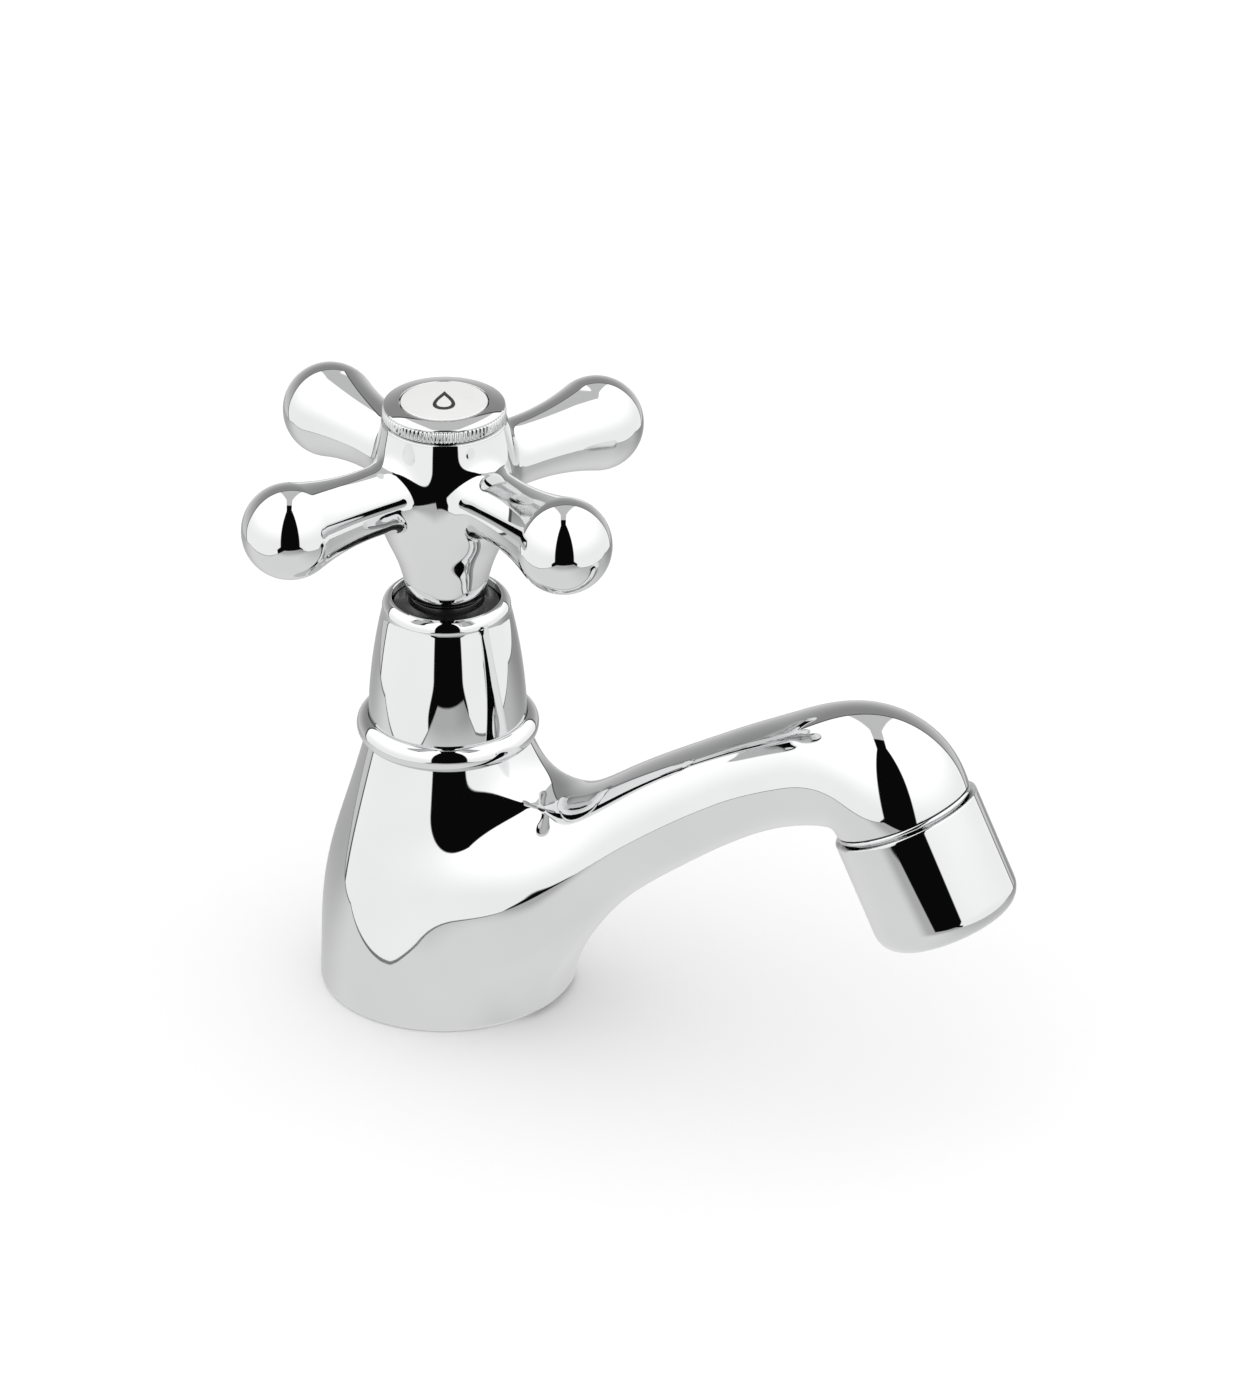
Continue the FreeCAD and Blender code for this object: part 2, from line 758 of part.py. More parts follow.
def make_seals():
    seal = new_body("seat_seal")
    step = s.seal_ring_thick + s.fit_gap
    lip = s.seal_height * s.seal_lip_share
    low, high = s.seat_level + lip, seal_top - lip
    outline = [(s.seal_bore, s.seat_level), (s.seal_radius, s.seat_level), (s.seal_radius, seal_top)]
    outline += [(s.seal_bore, seal_top), (s.seal_bore, high), (s.seal_bore + step, high)]
    outline += [(s.seal_bore + step, low), (s.seal_bore, low)]
    revolve(seal, outline)
    inner, outer = s.seal_bore, s.seal_bore + s.seal_ring_thick
    ring_of("seal_support_ring", inner, outer, low + s.seat_gap, high - s.seat_gap)
    inner, outer = s.thread_radius + s.fit_gap, s.spigot_radius
    ring_of("headwork_gasket", inner, outer, spigot_top, gasket_top)
    ring = (s.spigot_radius + s.recess_radius) / 2
    tube_ring("shroud_o_ring", ring, s.shroud_ring_thick, s.bead_level + s.shroud_ring_thick)


def make_spindle():
    body = new_body("spindle")
    clip_top = clip_foot + s.clip_thick
    groove_floor = s.stem_radius - s.ring_groove_depth
    clip_floor = s.stem_radius - s.clip_thick
    outline = [(0, driver_foot), (s.driver_radius, driver_foot), (s.driver_radius, driver_top)]
    outline += [(s.stem_radius, driver_top)]
    for level in (s.lower_ring_level, s.upper_ring_level):
        low, high = level - s.ring_groove_width / 2, level + s.ring_groove_width / 2
        outline += [(s.stem_radius, low), (groove_floor, low), (groove_floor, high), (s.stem_radius, high)]
    outline += [(s.stem_radius, clip_foot), (clip_floor, clip_foot), (clip_floor, clip_top)]
    outline += [(s.stem_radius, clip_top), (s.stem_radius, s.stem_level), (s.spline_radius, s.stem_level)]
    outline += [(s.spline_radius, s.spline_top_level), (s.tapped_radius, s.spline_top_level)]
    outline += [(s.tapped_radius, s.screw_hole_bottom), (0, s.screw_hole_bottom - s.tapped_radius / 2)]
    revolve(body, outline)
    tang = sketch_on(body, "XY_Plane", lift=driver_foot - s.tang_height)
    draw_bar(tang, s.tang_width, (s.disc_radius - s.tang_inset) * 2)
    extrude(body, tang, "Pad", s.tang_height)
    tooth_gap = sketch_on(body, "XY_Plane", lift=s.spline_top_level)
    half_pitch = s.spline_radius * math.pi / s.spline_teeth
    outer = s.spline_radius * 2 - s.spline_root
    draw_outline(tooth_gap, [(s.spline_root, 0), (outer, -half_pitch), (outer, half_pitch)])
    cut = extrude(body, tooth_gap, "Pocket", s.spline_top_level - s.stem_level)
    repeat_round(body, cut, s.spline_teeth)


def make_spindle_fittings():
    thick = (s.ring_groove_depth + s.fit_gap - s.seat_gap * 2) / 2
    ring = s.stem_radius - s.ring_groove_depth + s.seat_gap + thick
    tube_ring("stem_o_ring_lower", ring, thick, s.lower_ring_level)
    tube_ring("stem_o_ring_upper", ring, thick, s.upper_ring_level)
    inner, outer = s.stem_radius + s.fit_gap, s.driver_radius
    ring_of("thrust_washer", inner, outer, driver_top, s.disc_shoulder_level - s.thrust_gap)
    clip_inner = s.stem_radius - s.clip_thick + s.seat_gap
    low, high = clip_foot + s.seat_gap, clip_foot + s.clip_thick - s.seat_gap
    clip = ring_of("spindle_circlip", clip_inner, s.clip_radius, low, high)
    gap = sketch_on(clip, "XY_Plane", lift=high)
    reach, half = s.clip_radius + 1, s.clip_gap / 2
    draw_outline(gap, [(0, -half), (reach, -half), (reach, half), (0, half)])
    extrude(clip, gap, "Pocket", s.clip_thick)
    turned_with_handle(clip)
    inner, outer = s.stem_radius + s.dust_ring_gap, s.shroud_mouth_radius - s.fit_gap
    dust_top = dust_ring_foot + s.dust_ring_height
    ring_of("dust_ring", inner, outer, dust_ring_foot, dust_top)


# ---------------------------------------------------------------- handle


def hub_outline():
    """The hub's outline: neck, hollow flare and round hub as three arcs that run into each other."""
    climb = s.flare_level - s.handle_neck_level
    sink = other_leg(s.handle_flare, climb)
    flare_radius = s.handle_neck_radius + s.handle_flare - sink
    swell = (s.hub_radius - flare_radius) / (1 - sink / s.handle_flare)
    hub_level = s.flare_level + swell * climb / s.handle_flare
    tall, narrow = s.hub_top_level - hub_level, s.hub_radius - s.hub_top_radius
    barrel = (tall * tall + narrow * narrow) / (narrow * 2)
    foot = s.handle_neck_radius - s.handle_foot_round
    foot_top = s.handle_foot_level + s.handle_foot_round
    outline = [(foot, s.handle_foot_level, s.handle_foot_round, 1), (s.handle_neck_radius, foot_top)]
    outline += [(s.handle_neck_radius, s.handle_neck_level, s.handle_flare, -1)]
    outline += [(flare_radius, s.flare_level, swell, 1), (s.hub_radius, hub_level, barrel, 1)]
    outline += [(s.hub_top_radius, s.hub_top_level)]
    return outline


def make_cross_handle():
    body = new_body("cross_handle")
    revolve(body, hub_outline() + [(0, s.hub_top_level), (0, s.handle_foot_level)])
    apart = s.knob_reach - s.arm_waist_reach
    square = apart * apart + s.arm_waist_radius * s.arm_waist_radius - s.knob_radius * s.knob_radius
    hollow = square / ((s.knob_radius - s.arm_waist_radius) * 2)
    share = s.knob_radius / (hollow + s.knob_radius)
    join = (s.knob_reach - share * apart, share * (s.arm_waist_radius + hollow))
    outline = [(s.arm_start, 0), (s.knob_reach + s.knob_radius, 0, s.knob_radius, 1), (*join, hollow, -1)]
    outline += [(s.arm_waist_reach, s.arm_waist_radius), (s.arm_start, s.arm_waist_radius)]
    arm = revolve(body, outline, axis="H_Axis", up=s.arm_level)
    arms = repeat_round(body, arm, 4)

    def at_arm_root(edge):
        box = edge.BoundBox
        low, high = s.arm_level - s.arm_waist_radius * 1.5, s.arm_level + s.arm_waist_radius * 1.5
        middle = at_middle(edge)
        off_axis = math.hypot(middle.x, middle.y)
        within = low.value < box.ZMin and box.ZMax < high.value
        return within and box.ZLength > s.arm_waist_radius.value and off_axis < s.hub_radius.value + 0.5

    dress(body, "Fillet", arms, at_arm_root, s.arm_blend)
    well = [(0, s.handle_foot_level), (s.insert_bore, s.handle_foot_level)]
    well += [(s.insert_bore, s.insert_floor_level), (s.screw_hole, s.insert_floor_level)]
    well += [(s.screw_hole, s.screw_floor_level), (s.screw_well, s.screw_floor_level)]
    thread = s.cap_thread_radius + s.fit_gap
    well += [(s.screw_well, s.cap_thread_level), (thread, s.cap_thread_level)]
    well += [(thread, s.hub_top_level), (0, s.hub_top_level)]
    revolve(body, well, "Groove")
    turned_with_handle(body)


def make_handle_fittings():
    inner, outer = s.spline_radius + s.seat_gap, s.insert_bore - s.seat_gap
    foot = s.handle_foot_level + s.handle_foot_round
    ring_of("spline_insert", inner, outer, foot, s.insert_floor_level - s.fit_gap)
    inner = s.screw_radius + s.fit_gap * 2
    ring_of("screw_washer", inner, s.washer_radius, s.screw_floor_level, screw_head_foot)
    screw = new_body("handle_screw")
    head_top = screw_head_foot + s.screw_head_height
    outline = [(0, s.screw_tip_level), (s.screw_radius - s.screw_tip_bevel, s.screw_tip_level)]
    outline += [(s.screw_radius, s.screw_tip_level + s.screw_tip_bevel), (s.screw_radius, screw_head_foot)]
    outline += [(s.screw_head_radius, screw_head_foot), (s.screw_head_radius, head_top), (0, head_top)]
    revolve(screw, outline)
    slot = sketch_on(screw, "XY_Plane", lift=head_top)
    draw_bar(slot, s.screw_slot_width, s.screw_head_radius * s.screw_slot_share)
    cut = extrude(screw, slot, "Pocket", s.screw_head_height / 2)
    repeat_round(screw, cut, 4)
    turned_with_handle(screw)


def make_index():
    cap = new_body("index_cap")
    outline = [(s.cap_thread_radius, cap_foot_level), (s.cap_radius, cap_foot_level)]
    outline += [(s.cap_radius, cap_edge_level), (s.cap_bevel_radius, cap_top_level)]
    outline += [(s.cap_recess, cap_top_level), (s.cap_recess, cap_floor_level), (0, cap_floor_level)]
    roof = cap_floor_level - s.cap_roof
    stub_foot = cap_foot_level - s.cap_stub_length
    outline += [(0, roof), (s.cap_stub_bore, roof), (s.cap_stub_bore, stub_foot)]
    outline += [(s.cap_thread_radius, stub_foot)]
    revolve(cap, outline)
    disc = new_body("index_disc")
    low, high = cap_floor_level + s.seat_gap, cap_top_level + s.index_rise
    outline = [(0, low), (s.index_radius, low), (s.index_radius, high - s.index_rise)]
    outline += [(s.index_radius - s.index_rise, high), (0, high)]
    revolve(disc, outline)


# ---------------------------------------------------------------- aerator


def make_aerator():
    housing = new_body("aerator_housing")
    foot = -s.housing_length
    mouth_floor = -s.nose_neck_depth
    outline = [(s.housing_mouth, 0), (s.housing_mouth, mouth_floor), (s.housing_thread, mouth_floor)]
    outline += [(s.housing_thread, -s.aerator_seat_depth), (s.housing_bore, -s.aerator_seat_depth)]
    outline += [(s.housing_bore, screen_foot), (s.housing_lip, screen_foot), (s.housing_lip, foot)]
    edge_round = s.housing_radius - s.housing_lip - s.housing_land
    outline += [(s.housing_radius - edge_round, foot, edge_round, 1)]
    outline += [(s.housing_radius, foot + edge_round), (s.housing_radius, 0)]
    revolve(housing, outline)
    in_nose(housing)
    outer = s.nose_thread_radius - s.fit_gap
    gasket = ring_of("aerator_gasket", s.nose_bore, outer, gasket_foot + s.seat_gap, -s.nose_length)
    in_nose(gasket)
    plate_radius = s.housing_bore - s.fit_gap
    plate = ring_of("aerator_jet_plate", 0, plate_radius, plate_foot, gasket_foot)
    hole = sketch_on(plate, "XY_Plane", lift=gasket_foot)
    draw_circle(hole, s.plate_hole_ring, 0, s.plate_hole_radius)
    repeat_round(plate, extrude(plate, hole, "Pocket", s.plate_thick), s.plate_holes)
    in_nose(plate)
    make_strainer()
    mixer = ring_of("aerator_mixer", plate_radius - s.mixer_wall, plate_radius, screen_top, plate_foot)
    slot = sketch_on(mixer, "YZ_Plane")
    low, top = screen_top + s.mixer_wall, plate_foot - s.mixer_wall
    half = s.mixer_slot_width / 2
    draw_outline(slot, [(-half, low), (half, low), (half, top), (-half, top)])
    cut = extrude(mixer, slot, "Pocket", s.housing_radius, reverse=True)
    repeat_round(mixer, cut, s.mixer_slots)
    in_nose(mixer)
    screen = ring_of("aerator_screen", 0, plate_radius, screen_foot, screen_top)
    angle = 360 / s.screen_holes * s.screen_open_share
    open_radius = s.housing_lip - s.screen_rim / 2
    middle = (s.screen_hub + open_radius) / 2
    for inner, outer in ((s.screen_hub, middle - s.screen_bar / 2), (middle + s.screen_bar / 2, open_radius)):
        hole = sketch_on(screen, "XY_Plane", lift=screen_top)
        draw_port(hole, inner, outer, angle)
        cut = extrude(screen, hole, "Pocket", s.screen_thick)
        repeat_round(screen, cut, s.screen_holes)
    in_nose(screen)


def make_strainer():
    """A shallow dome that stands on the jet plate inside the gasket."""
    dome = new_body("aerator_strainer")
    rise, half = s.strainer_rise, s.strainer_radius
    outer = (half * half + rise * rise) / (rise * 2)
    inner_half, inner_rise = half - s.strainer_thick, rise - s.strainer_thick
    inner = (inner_half * inner_half + inner_rise * inner_rise) / (inner_rise * 2)
    foot = gasket_foot
    outline = [(inner_half, foot), (half, foot, outer, 1), (0, foot + rise)]
    outline += [(0, foot + inner_rise, inner, -1)]
    revolve(dome, outline)
    in_nose(dome)


# ---------------------------------------------------------------- build, check and write


def check_all():
    for obj in doc.Objects:
        if "Invalid" in obj.State or "Error" in obj.State:
            raise SystemExit(f"{obj.Name} is {obj.State}")
    for body in subparts:
        if body.Shape.isNull() or not body.Shape.isValid() or not body.Shape.Solids:
            raise SystemExit(f"{body.Label}: no valid solid")


make_tap_body()
make_base_gasket()
make_shroud()
make_headwork_housing()
make_discs()
make_seals()
make_spindle()
make_spindle_fittings()
make_cross_handle()
make_handle_fittings()
make_index()
make_aerator()
doc.recompute()

check_all()
os.makedirs("parts", exist_ok=True)
for part in subparts:
    part.Shape.exportStep(f"parts/{part.Label}.step")
    print(f"{part.Label}: {len(part.Shape.Solids)} solid, {part.Shape.Volume:.1f} mm3")
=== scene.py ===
import json
import math
import bmesh
import bpy
import numpy as np
from mathutils import Matrix, Vector


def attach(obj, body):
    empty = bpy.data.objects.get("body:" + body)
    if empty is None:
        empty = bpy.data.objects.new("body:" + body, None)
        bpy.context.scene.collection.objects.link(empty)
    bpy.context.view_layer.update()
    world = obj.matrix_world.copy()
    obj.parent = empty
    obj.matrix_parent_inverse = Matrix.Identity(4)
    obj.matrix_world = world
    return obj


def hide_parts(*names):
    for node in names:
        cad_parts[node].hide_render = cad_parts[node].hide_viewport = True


# A chromed pillar tap with a cross handle. Shapes are worked out in millimetres in the part's own frame:
# +X along the spout, +Z up, origin on the deck at the valve's axis. Only the finished meshes are in metres.

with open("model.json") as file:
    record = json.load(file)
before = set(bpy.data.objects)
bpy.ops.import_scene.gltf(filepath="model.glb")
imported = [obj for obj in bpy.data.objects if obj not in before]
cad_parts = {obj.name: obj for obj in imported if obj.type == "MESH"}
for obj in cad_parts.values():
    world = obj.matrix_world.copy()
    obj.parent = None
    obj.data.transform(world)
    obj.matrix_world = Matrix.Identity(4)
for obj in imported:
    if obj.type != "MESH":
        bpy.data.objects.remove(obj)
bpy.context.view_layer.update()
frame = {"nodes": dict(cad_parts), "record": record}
scene = bpy.context.scene

MM = 0.001
QUARTER = math.pi / 2
CAMERA_TURN = math.radians(27.0)     # the camera stands this far round from -Y, towards +X
CAMERA_TILT = math.radians(28.53)    # and this far above the horizon
CAMERA_SIDE = math.radians(-63.0)    # the same side as an angle from +X
REST_TURN = math.radians(-24.6)      # where the handle's first arm points at rest
OUTLET = Vector((81.7, 0.0, 50.1))   # the middle of the aerator's upper face
OUTLET_LEAN = math.radians(26.0)
OUTLET_WAY = Vector((math.sin(OUTLET_LEAN), 0, -math.cos(OUTLET_LEAN)))
OUTLET_PLACE = Matrix.Translation(OUTLET) @ Matrix.Rotation(-OUTLET_LEAN, 4, "Y")


# ---------------------------------------------------------------- materials

NOISE_LOW, NOISE_HIGH = 0.3, 0.7     # most of a noise texture lies between these


def new_material(name):
    mat = bpy.data.materials.new(name)
    mat.use_nodes = True
    return mat, mat.node_tree, mat.node_tree.nodes["Principled BSDF"]


def noise(tree, scale, detail=2.0, stretch=None):
    """Noise over the object's own coordinates."""
    source = tree.nodes.new("ShaderNodeTexCoord").outputs["Object"]
    if stretch:
        mapping = tree.nodes.new("ShaderNodeMapping")
        mapping.inputs["Scale"].default_value = stretch
        tree.links.new(source, mapping.inputs["Vector"])
        source = mapping.outputs["Vector"]
    texture = tree.nodes.new("ShaderNodeTexNoise")
    texture.inputs["Scale"].default_value = scale
    texture.inputs["Detail"].default_value = detail
    tree.links.new(source, texture.inputs["Vector"])
    return texture.outputs["Fac"]


def map_range(tree, value, low, high, first, last):
    """A node that takes low..high to first..last."""
    node = tree.nodes.new("ShaderNodeMapRange")
    sockets = ("From Min", "From Max", "To Min", "To Max")
    for socket, level in zip(sockets, (low, high, first, last)):
        node.inputs[socket].default_value = level
    tree.links.new(value, node.inputs["Value"])
    return node


def spread(tree, value, low, high, into):
    node = map_range(tree, value, NOISE_LOW, NOISE_HIGH, low, high)
    tree.links.new(node.outputs["Result"], into)


def tint(tree, value, first, second, into):
    ramp = tree.nodes.new("ShaderNodeValToRGB")
    for stop, place, colour in zip(ramp.color_ramp.elements, (NOISE_LOW, NOISE_HIGH), (first, second)):
        stop.position = place
        stop.color = (*colour, 1)
    tree.links.new(value, ramp.inputs["Fac"])
    tree.links.new(ramp.outputs["Color"], into)


def bump(tree, value, strength, distance, shader):
    node = tree.nodes.new("ShaderNodeBump")
    node.inputs["Strength"].default_value = strength
    node.inputs["Distance"].default_value = distance
    tree.links.new(value, node.inputs["Height"])
    tree.links.new(node.outputs["Normal"], shader.inputs["Normal"])


def chrome(name):
    """Polished plate with a faint film, a faint change of gloss and a long, shallow wave."""
    mat, tree, shader = new_material(name)
    shader.inputs["Metallic"].default_value = 1.0
    film = noise(tree, 55.0, 3.0)
    tint(tree, film, (0.66, 0.6633, 0.6666), (0.69, 0.692, 0.695), shader.inputs["Base Color"])
    spread(tree, noise(tree, 160.0, 4.0), 0.012, 0.035, shader.inputs["Roughness"])
    bump(tree, noise(tree, 90.0, 0.0), 0.04, 0.0001, shader)
    return mat


def plastic(name, first, second, rough, coat=0.0, grain=900.0, depth=0.15):
    """Anything that isn't metal: two near colours, a range of roughness and a fine grain."""
    mat, tree, shader = new_material(name)
    tint(tree, noise(tree, 120.0), first, second, shader.inputs["Base Color"])
    spread(tree, noise(tree, 300.0), *rough, shader.inputs["Roughness"])
    shader.inputs["Coat Weight"].default_value = coat
    shader.inputs["Coat Roughness"].default_value = 0.04
    bump(tree, noise(tree, grain, 3.0), depth, 0.00003, shader)
    return mat


def metal(name, first, second, rough, stretch):
    """Turned metal, its fine marks drawn out by stretch."""
    mat, tree, shader = new_material(name)
    shader.inputs["Metallic"].default_value = 1.0
    marks = noise(tree, 700.0, 4.0, stretch)
    tint(tree, noise(tree, 80.0), first, second, shader.inputs["Base Color"])
    spread(tree, marks, *rough, shader.inputs["Roughness"])
    bump(tree, marks, 0.25, 0.00002, shader)
    return mat


CHROME = chrome("chrome_polished")
ENAMEL = plastic("enamel_white", (0.68, 0.68, 0.675), (0.72, 0.72, 0.715), (0.08, 0.16),
                 coat=0.6, grain=500.0, depth=0.05)
WHITE = plastic("acetal_white", (0.70, 0.70, 0.68), (0.78, 0.78, 0.76), (0.35, 0.5))
BLACK = plastic("moulded_black", (0.006, 0.006, 0.006), (0.014, 0.014, 0.014), (0.35, 0.55))
# black for the printed index mark, and painted shade on the ring in the shroud's mouth
PRINT_AND_SHADE_BLACK = plastic("print_and_painted_shade_black", (0.004, 0.004, 0.004), (0.010, 0.010, 0.010), (0.25, 0.35), coat=0.3)
RUBBER = plastic("rubber_black", (0.012, 0.012, 0.012), (0.022, 0.022, 0.022), (0.55, 0.75),
                 grain=1500.0, depth=0.3)
CERAMIC = plastic("ceramic_ivory", (0.72, 0.70, 0.66), (0.80, 0.78, 0.74), (0.12, 0.22),
                  grain=2000.0, depth=0.1)
BRASS = metal("brass_turned", (0.62, 0.45, 0.19), (0.74, 0.56, 0.27), (0.18, 0.34), (0.15, 0.15, 6.0))
STEEL = metal("steel_stainless", (0.48, 0.48, 0.49), (0.58, 0.58, 0.59), (0.16, 0.30), (0.3, 0.3, 3.0))
BY_SLOT = {"chrome": CHROME, "enamel": ENAMEL, "brass": BRASS, "steel": STEEL, "ceramic": CERAMIC,
           "rubber": RUBBER, "white_plastic": WHITE, "black_plastic": BLACK}


# ---------------------------------------------------------------- lines and turned shapes

ON_AXIS = 1e-6


def arc(centre, radius, start, end, steps):
    """Points (r, z) along an arc, its angles in degrees from the outward direction."""
    angles = np.radians(np.linspace(start, end, steps + 1))
    return [(centre[0] + radius * math.cos(a), centre[1] + radius * math.sin(a)) for a in angles]


def bow(start, end, radius, side, steps):
    """Points from start to end along an arc, its centre on the left for side 1, on the right for -1."""
    p, q = np.array(start, float), np.array(end, float)
    chord = q - p
    half = np.linalg.norm(chord) / 2
    reach = math.sqrt(max(radius * radius - half * half, 0))
    centre = (p + q) / 2 + np.array([-chord[1], chord[0]]) / (2 * half) * reach * side
    a, b = (math.atan2(*(v - centre)[::-1]) for v in (p, q))
    if side > 0 and b < a:
        b += 2 * math.pi
    if side < 0 and b > a:
        b -= 2 * math.pi
    turns = np.linspace(a, b, steps + 1)
    return [tuple(centre + radius * np.array([math.cos(t), math.sin(t)])) for t in turns]


def spline(xs, ys):
    """A smooth curve through points: natural cubic pieces as a function of x."""
    xs, ys = np.asarray(xs, float), np.asarray(ys, float)
    n = len(xs)
    h = np.diff(xs)
    system = np.eye(n)
    right = np.zeros(n)
    for i in range(1, n - 1):
        system[i, i - 1:i + 2] = h[i - 1], 2 * (h[i - 1] + h[i]), h[i]
        right[i] = 6 * ((ys[i + 1] - ys[i]) / h[i] - (ys[i] - ys[i - 1]) / h[i - 1])
    m = np.linalg.solve(system, right)

    def value(x):
        x = np.asarray(x, float)
        i = np.clip(np.searchsorted(xs, x) - 1, 0, n - 2)
        t, w = x - xs[i], xs[i + 1] - x
        return ((m[i] * w ** 3 + m[i + 1] * t ** 3) / (6 * h[i])
                + (ys[i] / h[i] - m[i] * h[i] / 6) * w + (ys[i + 1] / h[i] - m[i + 1] * h[i] / 6) * t)

    return value


def ring(radius, z, count, dx=0.0):
    """Points round +Z. radius is one number, or a function of the point's number."""
    points = []
    for k in range(count):
        a = 2 * math.pi * k / count
        r = radius(k) if callable(radius) else radius
        points.append((dx + r * math.cos(a), r * math.sin(a), z))
    return points


def between(rings, closed=False):
    """The mesh between rings of points that have the same count."""
    count = len(rings[0])
    starts = [i * count for i in range(len(rings))]
    pairs = list(zip(starts, starts[1:]))
    if closed:
        pairs.append((starts[-1], starts[0]))
    faces = []
    for low, high in pairs:
        for k in range(count):
            n = (k + 1) % count
            faces.append([low + k, low + n, high + n, high + k])
    return [point for points in rings for point in points], faces


def lathe(profile, count=256, closed=True, shift=None):
    """The mesh of a profile of (r, z) turned about +Z. shift(z) moves a ring along X."""
    verts, faces, rows = [], [], []
    for r, z in profile:
        dx = shift(z) if shift else 0.0
        if r < ON_AXIS:
            rows.append([len(verts)] * count)
            verts.append((dx, 0.0, z))
            continue
        rows.append(list(range(len(verts), len(verts) + count)))
        verts += ring(r, z, count, dx)
    following = rows[1:] + rows[:1] if closed else rows[1:]
    for low, high in zip(rows, following):
        for k in range(count):
            n = (k + 1) % count
            face = [low[k], low[n], high[n], high[k]]
            face = [v for i, v in enumerate(face) if v != face[i - 1]]
            if len(set(face)) > 2:
                faces.append(face)
    return verts, faces


# ---------------------------------------------------------------- skins: smooth meshes on a field

FINEST = 1e-5          # the planes of cuts are this thick
FLATTEST = 0.05        # the smallest squared slope that a pull divides by
PULLS = 6
EVENING = (1, 2, 3)    # the pulls after which the points slide to even places
SLIDE_SHARE = 0.6
LONG_PULL, SHORT_PULL = 1.5, 0.3
CRUMB = 0.02           # edges shorter than this are dissolved
LAST_PULLS = 2         # after the cuts, along which the points then stay
ON_CUT = 1e-3


def smooth_min(a, b, k):
    h = np.clip(k - np.abs(a - b), 0, None) / k
    return np.minimum(a, b) - h * h * h * k / 6


def gradient(field, points, step=0.01):
    out = np.empty_like(points)
    for axis in range(3):
        move = np.zeros(3)
        move[axis] = step
        out[:, axis] = (field(points + move) - field(points - move)) / (2 * step)
    return out


def unit_rows(rows):
    return rows / np.linalg.norm(rows, axis=1)[:, None]


def pull(field, points, slope):
    """The move to field = 0 along the field's slope."""
    size = (slope * slope).sum(1)
    return -(field(points) / np.maximum(size, FLATTEST))[:, None] * slope


def turned_field(p, line, span, step, shift=None):
    """Distance from a turned wall of radius line(z), read at levels in span. shift(z) moves it along X."""
    z = np.clip(p[:, 2], *span)
    lean = (line(z + step) - line(z - step)) / (2 * step)
    aside = p[:, 0] - shift(z) if shift else p[:, 0]
    return (np.hypot(aside, p[:, 1]) - line(z)) / np.sqrt(1 + lean * lean)


def filled(parts):
    """A bmesh of parts, each vertices and faces."""
    work = bmesh.new()
    for verts, faces in parts:
        made = [work.verts.new(v) for v in verts]
        for face in faces:
            work.faces.new([made[i] for i in face])
    return work


def emptied(work):
    """The vertices and faces of a bmesh, which is freed."""
    work.verts.index_update()
    verts = np.array([v.co for v in work.verts])
    faces = [[v.index for v in f.verts] for f in work.faces]
    work.free()
    return verts, faces


def cut_off(work, geometry, point, normal):
    """Removes what lies past a plane, on the side that its normal points to."""
    bmesh.ops.bisect_plane(work, geom=geometry, dist=FINEST, plane_co=point, plane_no=normal,
                           clear_outer=True)


def remeshed(parts, voxel):
    """An even mesh round closed rough shapes that overlap."""
    work = filled(parts)
    bmesh.ops.recalc_face_normals(work, faces=work.faces)
    mesh = bpy.data.meshes.new("rough")
    work.to_mesh(mesh)
    work.free()
    obj = bpy.data.objects.new("rough", mesh)
    scene.collection.objects.link(obj)
    remesh = obj.modifiers.new("remesh", "REMESH")
    remesh.mode = "VOXEL"
    remesh.voxel_size = voxel
    remesh.adaptivity = 0.0
    shown = obj.evaluated_get(bpy.context.evaluated_depsgraph_get())
    grid = bpy.data.meshes.new_from_object(shown)
    bpy.data.objects.remove(obj)
    return grid


def skin(parts, field, voxel, cuts):
    """The mesh on field = 0. parts are closed rough shapes round it, cuts are (point, normal) planes."""
    grid = remeshed(parts, voxel)
    points = np.empty(len(grid.vertices) * 3)
    grid.vertices.foreach_get("co", points)
    points = points.reshape(-1, 3)
    links = np.array([e.vertices[:] for e in grid.edges])
    neighbours = np.bincount(links.ravel(), minlength=len(points))[:, None]
    for turn in range(PULLS):
        slope = gradient(field, points)
        points = points + np.clip(pull(field, points, slope), -LONG_PULL, LONG_PULL)
        if turn in EVENING:
            total = np.zeros_like(points)
            np.add.at(total, links[:, 0], points[links[:, 1]])
            np.add.at(total, links[:, 1], points[links[:, 0]])
            slide = total / neighbours - points
            unit = unit_rows(slope)
            points = points + SLIDE_SHARE * (slide - (slide * unit).sum(1)[:, None] * unit)
    grid.vertices.foreach_set("co", points.ravel())
    work = bmesh.new()
    work.from_mesh(grid)
    for point, normal in cuts:
        cut_off(work, work.verts[:] + work.edges[:] + work.faces[:], point, normal)
    bmesh.ops.dissolve_degenerate(work, dist=CRUMB, edges=work.edges[:])
    verts, faces = emptied(work)
    for _ in range(LAST_PULLS):
        move = pull(field, verts, gradient(field, verts))
        for point, normal in cuts:
            unit = np.array(Vector(normal).normalized())
            on_cut = np.abs((verts - np.array(point)) @ unit) < ON_CUT
            move[on_cut] -= (move[on_cut] @ unit)[:, None] * unit
        verts = verts + np.clip(move, -SHORT_PULL, SHORT_PULL)
    return verts, faces


def trimmed(shape, cuts):
    """A mesh cut by planes that reach only what belongs to them. cuts are (point, normal, belongs)."""
    work = filled([shape])
    for point, normal, belongs in cuts:
        chosen = [f for f in work.faces if all(belongs(v.co) for v in f.verts)]
        corners = list(dict.fromkeys(v for f in chosen for v in f.verts))
        sides = list(dict.fromkeys(e for f in chosen for e in f.edges))
        cut_off(work, corners + sides + chosen, point, normal)
    bmesh.ops.delete(work, geom=[v for v in work.verts if not v.link_faces], context="VERTS")
    return emptied(work)


# ---------------------------------------------------------------- finished pieces

